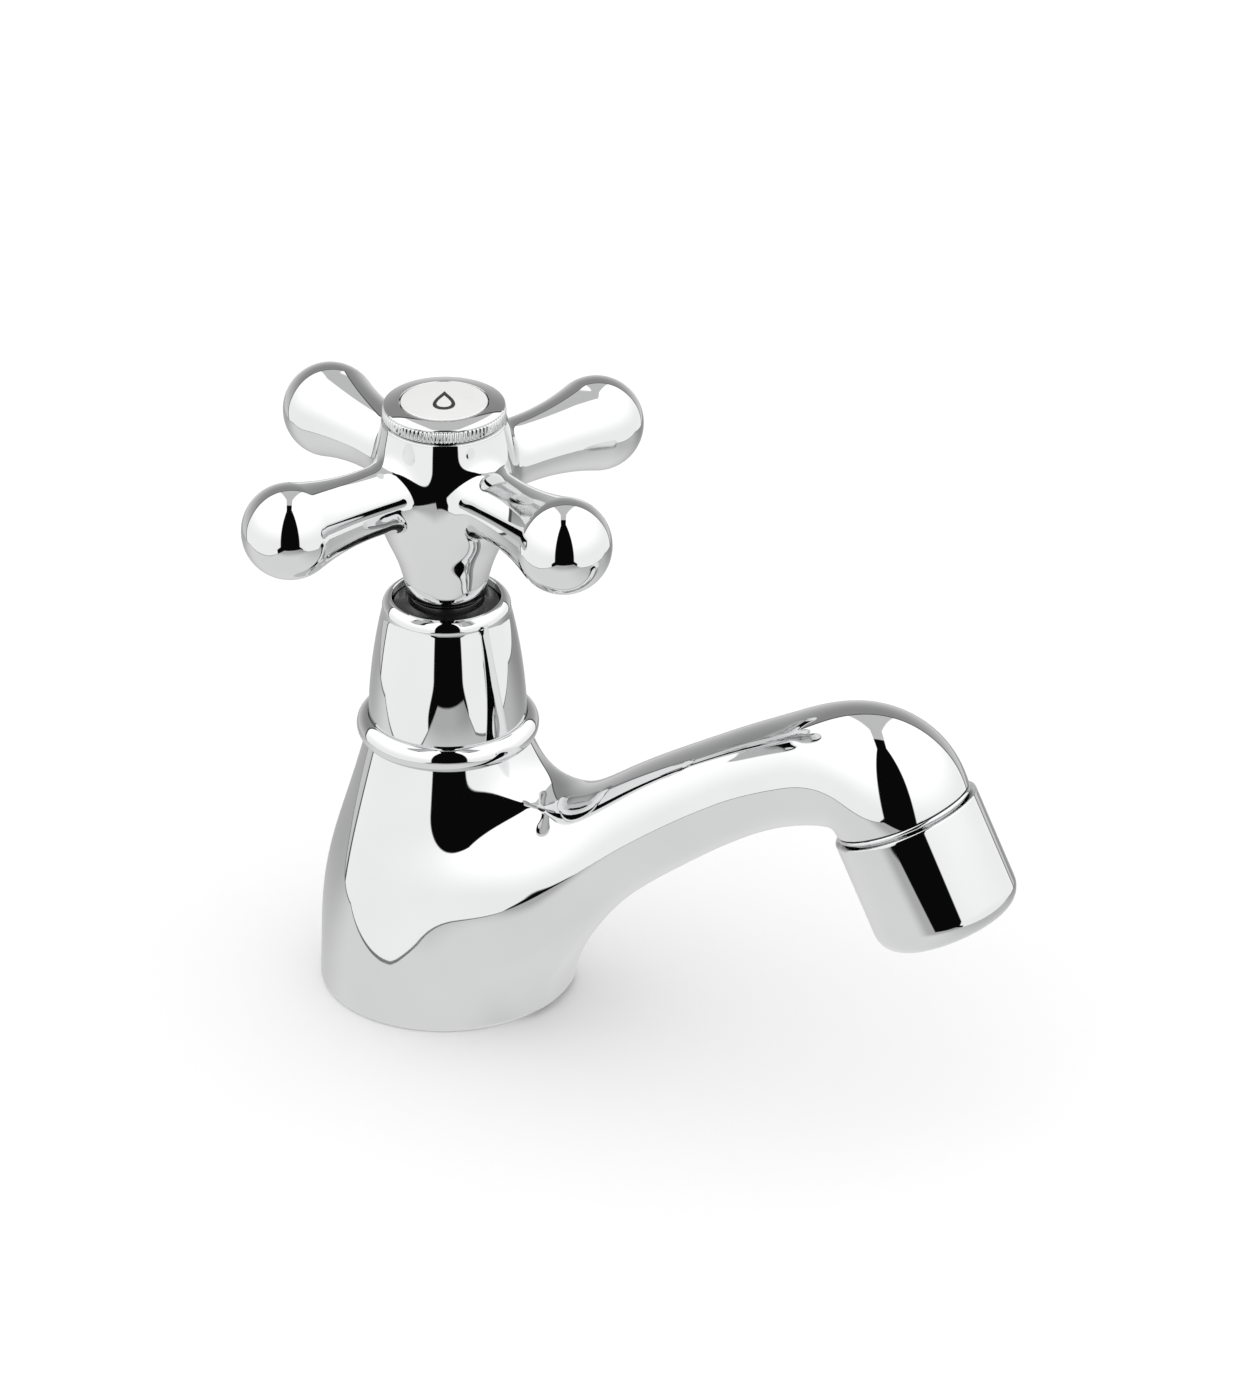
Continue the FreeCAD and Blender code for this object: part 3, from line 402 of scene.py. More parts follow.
def finish_piece(name, shape, material, body, replaced=(), field=None, sharp=30, place=None):
    """A piece in metres that rides on a body. shape is vertices and faces in millimetres. A field gives
    each vertex its exact normal. Without one, edges past `sharp` degrees stay sharp."""
    verts, faces = np.asarray(shape[0], float), shape[1]
    if place is not None:
        turn = np.array(place)
        verts = verts @ turn[:3, :3].T + turn[:3, 3]
    mesh = bpy.data.meshes.new(name)
    mesh.from_pydata((verts * MM).tolist(), [], [tuple(int(i) for i in face) for face in faces])
    mesh.validate()
    mesh.update()
    for polygon in mesh.polygons:
        polygon.use_smooth = True
    if field:
        normals = unit_rows(gradient(field, verts))
        mesh.normals_split_custom_set_from_vertices([tuple(n) for n in normals])
    else:
        work = bmesh.new()
        work.from_mesh(mesh)
        bmesh.ops.recalc_face_normals(work, faces=work.faces)
        work.to_mesh(mesh)
        work.free()
        mesh.set_sharp_from_angle(angle=math.radians(sharp))
    mesh.materials.append(material)
    obj = bpy.data.objects.new(name, mesh)
    scene.collection.objects.link(obj)
    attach(obj, body)
    if replaced:
        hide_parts(*replaced)


# ---------------------------------------------------------------- casting: upright and spout in one skin

BEAD_LEVEL = 46.7      # the middle of the bead under the shroud
FOOT_BACK = 0.9        # the foot stands this far behind the valve's axis
FOOT_CUT = 1.0         # the skin ends here, above the foot's rounded edge
FOOT_ROUND = 0.8
NECK_CUT = BEAD_LEVEL - 0.8
COLLAR_LIFT = 1.25     # the nose ends this far above the aerator, at its collar
UPRIGHT_SPAN = (-2, BEAD_LEVEL + 4)    # the levels between which the wall's line is read
UPRIGHT_END = BEAD_LEVEL + 2
NECK_AROUND, NECK_BELOW = 16, 3        # the neck's top cut reaches only this far out and down
NOSE_START = 60                        # the nose's cut only reaches from here on
ROUGH_FOOT, ROUGH_BELOW = 20.4, -1.5
CASTING_VOXEL = 0.6
wall = spline([0, 10, 20, 31, BEAD_LEVEL], [20.6, 20.2, 18.95, 16.65, 12.75])

# the spout's middle line: reach, level, radius
STATIONS = np.array([(2.0, 14.9, 15.6), (14.4, 22.5, 13.6), (26.0, 29.9, 9.9), (38.0, 38.8, 8.85),
                     (50.0, 46.9, 8.4), (58.0, 51.4, 8.55), (65.6, 54.7, 9.25), (70.8, 56.3, 10.1),
                     (75.9, 56.3, 11.0), (79.3, 54.3, 11.4), (81.3, 51.0, 11.12), (82.5, 48.5, 10.6)])
LINE_SAMPLES = 700
COARSE = 10            # every tenth sample is tried first
TUBE_STRIDE, TUBE_LOOK = 12, 4
NEAR_FOOT, FAR_ROOT = 2, 52
# how much wider than tall the spout's root is, by its reach
root_share = spline([NEAR_FOOT, 8, 14.4, 20, 26, 31, 38, 44, FAR_ROOT],
                    [0.12, 0.165, 0.18, 0.21, 0.225, 0.175, 0.075, 0.025, 0])
# and how much squarer than an ellipse, most of all where it leaves the upright
SQUARE_MOST, SQUARE_REACH, SQUARE_SPREAD = 0.8, 8.0, 11.0
VALLEY_BLEND, FLANK_BLEND = 17.0, 6.0
VALLEY_HALF, VALLEY_FADE = 5.0, 8.5


def spout_line():
    """The stations joined by smooth curves, one row for each sample."""
    steps = np.hypot(np.diff(STATIONS[:, 0]), np.diff(STATIONS[:, 1]))
    way = np.concatenate([[0], np.cumsum(steps)])
    fine = np.linspace(0, way[-1], LINE_SAMPLES)
    return np.stack([spline(way, column)(fine) for column in STATIONS.T], 1)


LINE = spout_line()
WIDER = 1 + np.maximum(root_share(np.clip(LINE[:, 0], NEAR_FOOT, FAR_ROOT)), 0)
SQUARE = 2 + SQUARE_MOST * np.exp(-((LINE[:, 0] - SQUARE_REACH) / SQUARE_SPREAD) ** 2)


def back_shift(z):
    return FOOT_BACK * (z / BEAD_LEVEL - 1)


def upright_field(p):
    out = turned_field(p, wall, UPRIGHT_SPAN, 0.1, back_shift)
    return np.maximum(out, p[:, 2] - UPRIGHT_END)


def spout_field(p):
    """Distance to the tube round the line: the nearest coarse sample first, then the fine ones beside it."""

    def away(line, wider, square):
        aside = np.abs(p[:, 1])[:, None] / wider
        along = np.hypot(p[:, None, 0] - line[..., 0], p[:, None, 2] - line[..., 1])
        return (along ** square + aside ** square) ** (1 / square) - line[..., 2]

    width = 2 * COARSE + 1
    first = away(LINE[::COARSE], WIDER[::COARSE], SQUARE[::COARSE]).argmin(1) * COARSE - COARSE
    span = np.clip(first, 0, len(LINE) - width)[:, None] + np.arange(width)[None, :]
    close = away(LINE[span], WIDER[span], SQUARE[span])
    i = np.clip(close.argmin(1), 1, width - 2)
    rows = np.arange(len(p))
    a, b, c = close[rows, i - 1], close[rows, i], close[rows, i + 1]
    bend = a - 2 * b + c
    flat = 1e-12
    shift = np.where(bend > flat, (a - c) / (2 * np.maximum(bend, flat)), 0.0)
    return b - (a - c) * np.clip(shift, -1, 1) / 4


def casting_field(p):
    """A wide blend in the valley on top, a tight one along the flanks."""
    out = np.clip((np.abs(p[:, 1]) - VALLEY_HALF) / VALLEY_FADE, 0, 1)
    blend = VALLEY_BLEND - (VALLEY_BLEND - FLANK_BLEND) * out * out * (3 - 2 * out)
    return smooth_min(upright_field(p), spout_field(p), blend)


def tube(count=48):
    """A rough closed tube round the spout's line."""
    rings = []
    for i in range(0, len(LINE), TUBE_STRIDE):
        ahead, behind = LINE[min(i + TUBE_LOOK, len(LINE) - 1)], LINE[max(i - TUBE_LOOK, 0)]
        way = ahead[:2] - behind[:2]
        way /= np.linalg.norm(way)
        reach, level, radius = LINE[i]
        points = []
        for k in range(count):
            a = 2 * math.pi * k / count
            off = radius * math.cos(a)
            points.append((reach - way[1] * off, radius * math.sin(a), level + way[0] * off))
        rings.append(points)
    verts, faces = between(rings)
    ends = [list(range(count)), list(range(len(verts) - count, len(verts)))]
    return verts, faces + ends


def at_neck(corner):
    return math.hypot(corner.x, corner.y) < NECK_AROUND and corner.z > BEAD_LEVEL - NECK_BELOW


def at_nose(corner):
    return corner.x > NOSE_START


def make_casting():
    outline = [(0, ROUGH_BELOW), (ROUGH_FOOT, ROUGH_BELOW)]
    outline += [(float(wall(z)), z) for z in np.linspace(0, BEAD_LEVEL, 24)] + [(0, BEAD_LEVEL)]
    upright = lathe(outline, 64, closed=False, shift=back_shift)
    shape = skin([upright, tube()], casting_field, CASTING_VOXEL, [((0, 0, FOOT_CUT), (0, 0, -1))])
    collar_middle = OUTLET - OUTLET_WAY * COLLAR_LIFT
    cuts = [((0, 0, NECK_CUT), (0, 0, 1), at_neck), (tuple(collar_middle), tuple(OUTLET_WAY), at_nose)]
    finish_piece("casting", trimmed(shape, cuts), CHROME, "tap", ("tap_body",), field=casting_field)


# ---------------------------------------------------------------- foot, inlet, bead and collar

GROOVE_OUTER, GROOVE_INNER, GROOVE_DEEP = 18.8, 16.4, 1.8
INLET_FLANGE = 11.2
SOCKET_MOUTH, SOCKET_RADIUS, SOCKET_DEEP = 9.75, 9.33, 13.0
THREAD_PITCH, THREAD_DEEP, THREAD_LEAD = 1.814, 0.45, 0.45
THREAD_ROWS = 8        # rows of points for each turn
WATERWAY, WATERWAY_START, WATERWAY_END = 6.0, 14.7, 24.0


def make_foot():
    """The rounded edge, and the underside with the gasket's groove."""
    edge = (float(wall(FOOT_ROUND)) - FOOT_ROUND, FOOT_ROUND)
    profile = [(float(wall(FOOT_CUT)), FOOT_CUT)] + arc(edge, FOOT_ROUND, 0, -90, 8)
    profile += [(GROOVE_OUTER, 0.0), (GROOVE_OUTER, GROOVE_DEEP), (GROOVE_INNER, GROOVE_DEEP)]
    profile += [(GROOVE_INNER, 0.0), (INLET_FLANGE, 0.0)]
    finish_piece("casting_foot", lathe(profile, closed=False, shift=back_shift), CHROME, "tap")


def make_inlet(count=96):
    """The threaded socket, and the start of the waterway above it."""
    rings = [ring(INLET_FLANGE, 0.0, count, -FOOT_BACK), ring(SOCKET_MOUTH, 0.0, count)]
    rings.append(ring(SOCKET_RADIUS, THREAD_LEAD, count))
    threaded = SOCKET_DEEP - 2 * THREAD_LEAD
    steps = int(threaded / THREAD_PITCH * THREAD_ROWS)
    for i in range(steps + 1):
        level = THREAD_LEAD + threaded * i / steps

        def radius(k):
            phase = (level / THREAD_PITCH - k / count) % 1.0
            cut = max(0.0, 0.5 - abs(phase - 0.5)) * 2
            return SOCKET_RADIUS + THREAD_DEEP * cut * min(1.0, level - THREAD_LEAD)

        rings.append(ring(radius, level, count))
    for radius, level in ((SOCKET_RADIUS, SOCKET_DEEP), (WATERWAY, WATERWAY_START), (WATERWAY, WATERWAY_END)):
        rings.append(ring(radius, level, count))
    finish_piece("inlet_thread", between(rings), BRASS, "tap", sharp=40)


def make_bead():
    """The bead under the shroud."""
    inside = 11.8
    profile = [(inside, BEAD_LEVEL - 0.9)] + arc((12.55, BEAD_LEVEL), 2.2, -76, 76, 28)
    profile += [(12.95, BEAD_LEVEL + 2.1), (12.75, BEAD_LEVEL + 1.7), (inside, BEAD_LEVEL + 0.4)]
    finish_piece("bead_ring", lathe(profile), CHROME, "tap", sharp=35)


def make_collar():
    """The collar between the nose and the aerator, with its fine turned grooves."""
    inside, groove, lip = 9.8, 10.5, 11.38
    profile = [(inside, 2.2), (10.8, 2.2), (10.8, 1.3), (10.6, 1.2), (10.6, 1.02)]
    profile += arc((10.95, 0.62), 0.4, 80, -80, 8)
    profile += [(groove, 0.2), (groove, 0.02), (lip, -0.02), (lip, -0.3), (groove, -0.5), (groove, -1.9)]
    profile += [(inside, -1.9)]
    finish_piece("nose_collar", lathe(profile), CHROME, "tap", sharp=35, place=OUTLET_PLACE)


# ---------------------------------------------------------------- shroud, and a black ring in its mouth that is painted shade

SHROUD_FOOT, SHROUD_SHOULDER, SHROUD_TOP = (12.87, 47.8), (10.35, 67.7), 69.8
SHROUD_BORE = 11.65


def make_shroud():
    profile = bow(SHROUD_FOOT, SHROUD_SHOULDER, 95.0, 1, 26)
    profile += bow(SHROUD_SHOULDER, (9.2, SHROUD_TOP), 1.9, 1, 10)[1:]
    profile += arc((9.02, SHROUD_TOP - 0.22), 0.22, 70, 180, 6)
    profile += [(8.7, SHROUD_TOP - 1.2), (8.7, 65.9), (9.4, 64.9), (SHROUD_BORE, 53.1)]
    profile += [(SHROUD_BORE, SHROUD_FOOT[1])]
    finish_piece("shroud_bell", lathe(profile), CHROME, "tap", ("shroud",), sharp=35)


def make_mouth_shade_ring():
    # painted shade: a black ring fills the shroud's mouth up to its lip, where the gap round the handle's
    # neck lies in shade
    foot, lip = 66.3, 70.0
    profile = [(8.65, foot), (8.65, 68.3)] + bow((8.5, 68.5), (6.15, 69.1), 4.0, -1, 8) + [(5.95, lip)]
    profile += arc((5.75, lip), 0.2, 0, 90, 4) + [(5.0, lip + 0.2), (4.8, lip), (4.8, foot)]
    finish_piece("mouth_shade_ring", lathe(profile), PRINT_AND_SHADE_BLACK, "tap", ("dust_ring",), sharp=40)


# ---------------------------------------------------------------- cross handle

ARMS = 4
ARM_LEVEL = 91.07
WAIST_REACH, WAIST = 15.5, 5.45       # an arm's narrowest place
KNOB_REACH, KNOB = 30.6, 7.7          # the ball at its end
ARM_START = 2.0
HUB_BLEND = 4.2
HUB_FOOT, HUB_LEVEL, HUB_TOP, HUB_RADIUS = 70.6, 89.0, 101.4, 11.35
SKIN_FOOT, SKIN_TOP = 71.1, 101.15    # the skin ends here, short of the turned edges
HUB_SPAN, HUB_ENDS = (70.7, 101.3), (69.5, 102.5)
ROUGH_LOW, ROUGH_HIGH = 69.6, 102.4
HANDLE_VOXEL = 0.42
neck_line = spline([HUB_FOOT, 72.0, 74.0, 76.0, 78.0, 80.0, 82.5, 85.0, 87.0, HUB_LEVEL],
                   [6.55, 6.66, 7.06, 7.62, 8.37, 9.27, 10.2, 10.87, 11.22, HUB_RADIUS])
HUB = np.array([(float(neck_line(z)), z) for z in np.linspace(HUB_FOOT, HUB_LEVEL, 28)]
               + bow((HUB_RADIUS, HUB_LEVEL), (10.0, HUB_TOP), 58.0, 1, 12)[1:])
hub_wall = spline(HUB[::3, 1], HUB[::3, 0])

# the hollow between waist and ball is an arc that touches both
HOLLOW = ((KNOB_REACH - WAIST_REACH) ** 2 + WAIST ** 2 - KNOB ** 2) / ((KNOB - WAIST) * 2)
TO_HOLLOW = np.array([WAIST_REACH - KNOB_REACH, WAIST + HOLLOW])
TO_HOLLOW = TO_HOLLOW / np.linalg.norm(TO_HOLLOW)


def hub_field(p):
    low, high = HUB_ENDS
    out = turned_field(p, hub_wall, HUB_SPAN, 0.05)
    return np.maximum(out, np.maximum(p[:, 2] - high, low - p[:, 2]))


def arm_field(p, angle):
    x = p[:, 0] * math.cos(angle) + p[:, 1] * math.sin(angle)
    y = -p[:, 0] * math.sin(angle) + p[:, 1] * math.cos(angle)
    off = np.hypot(y, p[:, 2] - ARM_LEVEL)
    ball = np.hypot(x - KNOB_REACH, off) - KNOB
    waist = HOLLOW - np.hypot(x - WAIST_REACH, off - (WAIST + HOLLOW))
    stem = np.where(x < WAIST_REACH, off - WAIST, waist)
    # the ball takes over past the line from its centre to the hollow's centre
    past = (x - KNOB_REACH) * TO_HOLLOW[1] - off * TO_HOLLOW[0]
    return np.maximum(np.where(past > 0, ball, stem), ARM_START - x)


def handle_field(p):
    arms = np.min([arm_field(p, REST_TURN + QUARTER * k) for k in range(ARMS)], axis=0)
    return smooth_min(hub_field(p), arms, HUB_BLEND)


def arm_outline():
    """An arm's outline as (reach, radius)."""
    share = KNOB / (HOLLOW + KNOB)
    join = (KNOB_REACH - share * (KNOB_REACH - WAIST_REACH), share * (WAIST + HOLLOW))
    points = [(0.0, WAIST)] + bow((WAIST_REACH, WAIST), join, HOLLOW, 1, 20)
    start = math.degrees(math.atan2(join[1], join[0] - KNOB_REACH))
    return points + arc((KNOB_REACH, 0.0), KNOB, start, 0, 39)[1:]


def rough_arm(angle):
    """A closed rough arm, from inside the hub to the ball's end."""
    outline = [(max(radius, 0.0), reach) for reach, radius in arm_outline()[1::3]]
    verts, faces = lathe([(0, 2.5), (WAIST, 2.5)] + outline + [(0, KNOB_REACH + KNOB)], 48, closed=False)
    turn = np.array(Matrix.Rotation(angle, 3, "Z") @ Matrix.Rotation(QUARTER, 3, "Y"))
    return np.array(verts) @ turn.T + np.array([0, 0, ARM_LEVEL]), faces


def make_handle():
    outline = [(0, ROUGH_LOW), (6.55, ROUGH_LOW)] + [tuple(point) for point in HUB[::3]]
    outline += [(10.0, ROUGH_HIGH), (0, ROUGH_HIGH)]
    parts = [lathe(outline, 64, closed=False)] + [rough_arm(REST_TURN + QUARTER * k) for k in range(ARMS)]
    ends = [((0, 0, SKIN_FOOT), (0, 0, -1)), ((0, 0, SKIN_TOP), (0, 0, 1))]
    finish_piece("cross_skin", skin(parts, handle_field, HANDLE_VOXEL, ends), CHROME, "handle",
                 ("cross_handle",), field=handle_field)
    well = 6.6
    rim = [(10.03, SKIN_TOP), (10.0, 101.28)] + arc((9.85, 101.25), 0.15, 0, 90, 5)
    rim += [(well, HUB_TOP), (well, 97.0)]
    finish_piece("hub_rim", lathe(rim, closed=False), CHROME, "handle")
    bore, flat = 5.2, 6.05
    foot = [(bore, 74.0), (bore, HUB_FOOT), (flat, HUB_FOOT)] + arc((flat, SKIN_FOOT), 0.5, -90, 0, 6)
    finish_piece("hub_foot", lathe(foot, closed=False), CHROME, "handle")


# ---------------------------------------------------------------- index cap with its knurl, disc and mark

CAP_FOOT, CAP_SHOULDER, CAP_TOP = 101.45, 103.8, 104.4
CAP_RADIUS = 9.6
RIBS, RIB_POINTS, RIB_HIGH = 86, 8, 0.25
DISC_RADIUS, DISC_FOOT, DISC_TOP = 6.93, 102.83, CAP_TOP + 0.13
DROP_POINTS, DROP_TAPER = 96, 1.4


def knurled(base, share):
    """The radius at each point of a knurled ring. share is how much of the ribs stands there."""

    def radius(k):
        tooth = 0.5 + 0.5 * math.cos(2 * math.pi * k / RIB_POINTS)
        return base + share * RIB_HIGH * tooth ** 0.7

    return radius


def make_cap():
    side = [(6.5, CAP_FOOT, 0), (9.35, CAP_FOOT, 0), (9.55, CAP_FOOT + 0.12, 0)]
    side += [(CAP_RADIUS, CAP_FOOT + 0.3, 0), (CAP_RADIUS, CAP_FOOT + 0.45, 1)]
    side += [(CAP_RADIUS, CAP_SHOULDER - 0.45, 1), (CAP_RADIUS, CAP_SHOULDER - 0.3, 0)]
    side += [(9.62, CAP_SHOULDER - 0.2, 0)]
    crown = arc((9.45, CAP_SHOULDER - 0.05), 0.28, 0, 62, 5) + [(7.35, CAP_TOP - 0.04)]
    crown += arc((7.3, CAP_TOP - 0.14), 0.12, 60, 180, 4) + [(7.1, 102.9), (6.4, 102.85)]
    count = RIBS * RIB_POINTS
    rings = [ring(knurled(radius, share), level, count) for radius, level, share in side]
    rings += [ring(radius, level, count) for radius, level in crown]
    finish_piece("cap_knurled", between(rings), CHROME, "handle", ("index_cap",), sharp=50)


def make_disc():
    profile = [(0, DISC_FOOT), (6.88, DISC_FOOT), (DISC_RADIUS, 102.95), (DISC_RADIUS, CAP_TOP - 0.05)]
    profile += arc((6.7, DISC_TOP - 0.23), 0.23, 0, 90, 6) + [(0, DISC_TOP)]
    finish_piece("disc_enamel", lathe(profile, closed=False), ENAMEL, "handle", ("index_disc",),
                 sharp=40)


def drop_line(half_width, half_height, lower, z):
    points = []
    for k in range(DROP_POINTS):
        t = 2 * math.pi * k / DROP_POINTS
        taper = math.sin(t) * abs(math.sin(t / 2)) ** DROP_TAPER
        points.append((half_width * taper, half_height * math.cos(t) - lower, z))
    return points


def make_mark():
    """A plain drop's outline as the index mark, its point away from the front."""
    outer, inner = (2.5, 3.3, 0.0), (1.65, 2.1, 0.28)
    low, high = DISC_TOP - 0.03, DISC_TOP + 0.018
    rings = [drop_line(*outer, low), drop_line(*inner, low), drop_line(*inner, high), drop_line(*outer, high)]
    finish_piece("index_mark", between(rings, closed=True), PRINT_AND_SHADE_BLACK, "handle", sharp=40,
                 place=Matrix.Rotation(CAMERA_TURN, 4, "Z"))


# ---------------------------------------------------------------- aerator housing

def make_aerator():
    radius, length, edge_round = 12.0, 19.7, 3.6
    spigot, thread, insert, mouth = 11.4, 10.98, 10.25, 9.1
    profile = [(spigot, -0.02), (11.75, 0.0)] + arc((11.82, -0.18), 0.18, 90, 0, 4) + [(radius, -0.5)]
    profile += [(radius, edge_round - length)]
    profile += arc((radius - edge_round, edge_round - length), edge_round, 0, -76, 14)[1:]
    profile += [(mouth, 0.25 - length), (mouth, 1.2 - length), (insert, 1.2 - length)]
    profile += [(insert, -9.2), (thread, -9.2), (thread, -2.0), (spigot, -2.0)]
    finish_piece("aerator_shell", lathe(profile), CHROME, "tap", ("aerator_housing",), sharp=35,
                 place=OUTLET_PLACE)


make_casting()
make_foot()
make_inlet()
make_bead()
make_collar()
make_shroud()
make_mouth_shade_ring()
make_handle()
make_cap()
make_disc()
make_mark()
make_aerator()

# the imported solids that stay
slot_of = {row["node"]: row["material_slot"] for row in frame["record"]["subparts"]}
for name, obj in frame["nodes"].items():
    if obj.hide_render:
        continue
    obj.data.materials.clear()
    obj.data.materials.append(BY_SLOT[slot_of[name]])


# ---------------------------------------------------------------- studio: floor, low table and light

MIDDLE = (0.0255, 0.013)
FLOOR_REACH, FLOOR_POINTS = 0.27, 128
# the table that the chrome reflects: lower than the deck, bounded by the light panels, with a lane between
# them where the camera stands. Angles count from the camera's side, towards the image's right.
TABLE_LEVEL = -0.117
PANELS = [(-55, 0.305), (59, 0.38), (-100, 0.44), (124, 0.54), (180, 0.60)]    # degrees, metres
LANE_LEFT, LANE_LEAN, LANE_RIGHT, LANE_END = 0.29, 0.27, 0.26, 0.58
GRAZING, LANE_SIDE = 0.05, 0.3    # the smallest cosines at which a panel and the lane still count
TABLE_POINTS, TABLE_RIM = 720, 0.012
TABLE_LIGHT, RIM_LIGHT = 0.94, 0.25
# what is left of the table's light towards the camera, away from it and on the image's right
FRONT_SHARE, BACK_SHARE, SIDE_SHARE = 0.62, 0.56, 0.72
FRONT_FADE, BACK_FADE, SIDE_FADE = (-0.46, -0.27), (0.03, 0.32), (0.03, 0.30)
# the world's light. Fades and halves are in degrees, the fades by elevation, and the arch's inside and
# outside edges are shares of its size
PLAIN_LIGHT = 1.3        # what the camera and soft light see all round
WALL_LIGHT, WALL_RISE, WALL_FADE = 1.22, 0.34, (-8.0, 34.0)
STRIP_LIGHT, STRIP_HALF = 0.72, (18.0, 20.0)
OVERHEAD_HALF, OVERHEAD_START = (0.085, 0.095), (-0.01, 0.01)    # shares of the sky's radius
ARCH_TURN, ARCH_HALF, ARCH_HIGH = 170.0, 52.0, 42.0
ARCH_LIGHT, ARCH_FALL, ARCH_FADE = 0.80, 0.46, (-25.0, 32.0)
ARCH_RIM_LIGHT, ARCH_INSIDE, ARCH_OUTSIDE = 0.10, (0.97, 0.99), (1.02, 1.035)
GAP_LIGHT, GAP_TURN, GAP_HALF = 0.004, 2.5, (20.8, 22.4)
GAP_FLARE, FLARE_FADE = 8.0, (-20.0, -11.0)              # the gap is this much wider low down


def maths(tree, kind, *values):
    node = tree.nodes.new("ShaderNodeMath")
    node.operation = kind
    for socket, value in zip(node.inputs, values):
        if isinstance(value, (int, float)):
            socket.default_value = value
        else:
            tree.links.new(value, socket)
    return node.outputs[0]


def step_up(tree, value, low, high, first=0.0, last=1.0):
    """A soft step from first to last while value goes from low to high."""
    node = map_range(tree, value, low, high, first, last)
    node.interpolation_type = "SMOOTHSTEP"
    return node.outputs["Result"]


def blend_to(tree, base, other, share):
    """base where share is 0, other where it is 1."""
    keep = maths(tree, "MULTIPLY", base, maths(tree, "SUBTRACT", 1.0, share))
    return maths(tree, "ADD", keep, maths(tree, "MULTIPLY", other, share))


def studio_axes(tree, source):
    """Coordinates turned about Z, so that -Y points to the camera's side and +X to the image's right."""
    turned = tree.nodes.new("ShaderNodeVectorRotate")
    turned.rotation_type = "Z_AXIS"
    turned.inputs["Angle"].default_value = -CAMERA_TURN
    tree.links.new(tree.nodes.new("ShaderNodeTexCoord").outputs[source], turned.inputs["Vector"])
    split = tree.nodes.new("ShaderNodeSeparateXYZ")
    tree.links.new(turned.outputs["Vector"], split.inputs["Vector"])
    return split.outputs


def stage_mesh(name, verts, faces, material):
    mesh = bpy.data.meshes.new(name)
    mesh.from_pydata(verts, [], faces)
    mesh.materials.append(material)
    obj = bpy.data.objects.new(name, mesh)
    scene.collection.objects.link(obj)
    return obj


def make_floor():
    mat, tree, shader = new_material("floor_pale")
    tint(tree, noise(tree, 6.0), (0.80, 0.80, 0.80), (0.82, 0.82, 0.82), shader.inputs["Base Color"])
    shader.inputs["Roughness"].default_value = 0.9
    shader.inputs["Specular IOR Level"].default_value = 0.1
    verts = [(x, y + MIDDLE[1], z) for x, y, z in ring(FLOOR_REACH, 0.0, FLOOR_POINTS, MIDDLE[0])]
    floor = stage_mesh("floor", verts, [list(range(FLOOR_POINTS))], mat)
    floor.visible_glossy = False


def glow(name, strength, front=1.0, back=1.0, side=1.0):
    """A lit sheet that only reflections see. front, back and side say what is left of its strength there."""
    mat = bpy.data.materials.new(name)
    mat.use_nodes = True
    tree = mat.node_tree
    tree.nodes.clear()
    axes = studio_axes(tree, "Object")
    level = step_up(tree, axes["Y"], *FRONT_FADE, strength * front, strength)
    level = maths(tree, "MULTIPLY", level, step_up(tree, axes["Y"], *BACK_FADE, 1.0, back))
    level = maths(tree, "MULTIPLY", level, step_up(tree, axes["X"], *SIDE_FADE, 1.0, side))
    shine = tree.nodes.new("ShaderNodeEmission")
    tree.links.new(level, shine.inputs["Strength"])
    end = tree.nodes.new("ShaderNodeOutputMaterial")
    tree.links.new(shine.outputs["Emission"], end.inputs["Surface"])
    return mat


def table_reach(a):
    """How far the table reaches at an angle."""
    facing = [(far, math.cos(a - math.radians(side))) for side, far in PANELS]
    reach = min(far / share for far, share in facing if share > GRAZING)
    if math.cos(a) > LANE_SIDE:
        reach = min(reach, LANE_END / math.cos(a))
        across = max(math.sin(a) / LANE_RIGHT, (LANE_LEAN * math.cos(a) - math.sin(a)) / LANE_LEFT)
        reach = max(reach, 1 / max(across, math.cos(a) / LANE_END))
    return reach


def make_table():
    verts, faces, rim, rim_faces = [(0.0, 0.0, TABLE_LEVEL)], [], [], []
    for k in range(TABLE_POINTS):
        a = 2 * math.pi * k / TABLE_POINTS
        x, y = math.cos(a + CAMERA_SIDE), math.sin(a + CAMERA_SIDE)
        edge, past = table_reach(a), table_reach(a) + TABLE_RIM
        verts.append((x * edge, y * edge, TABLE_LEVEL))
        rim += [(x * edge, y * edge, TABLE_LEVEL), (x * past, y * past, TABLE_LEVEL)]
        n = (k + 1) % TABLE_POINTS
        faces.append((0, k + 1, n + 1))
        rim_faces.append((2 * k, 2 * k + 1, 2 * n + 1, 2 * n))
    lit = glow("low_table", TABLE_LIGHT, FRONT_SHARE, BACK_SHARE, SIDE_SHARE)
    table = stage_mesh("low_table", verts, faces, lit)
    table_edge = stage_mesh("low_edge", rim, rim_faces, glow("low_edge", RIM_LIGHT))
    for obj in (table, table_edge):
        obj.visible_camera = False
        obj.visible_shadow = False
        obj.visible_diffuse = False
        obj.visible_transmission = False


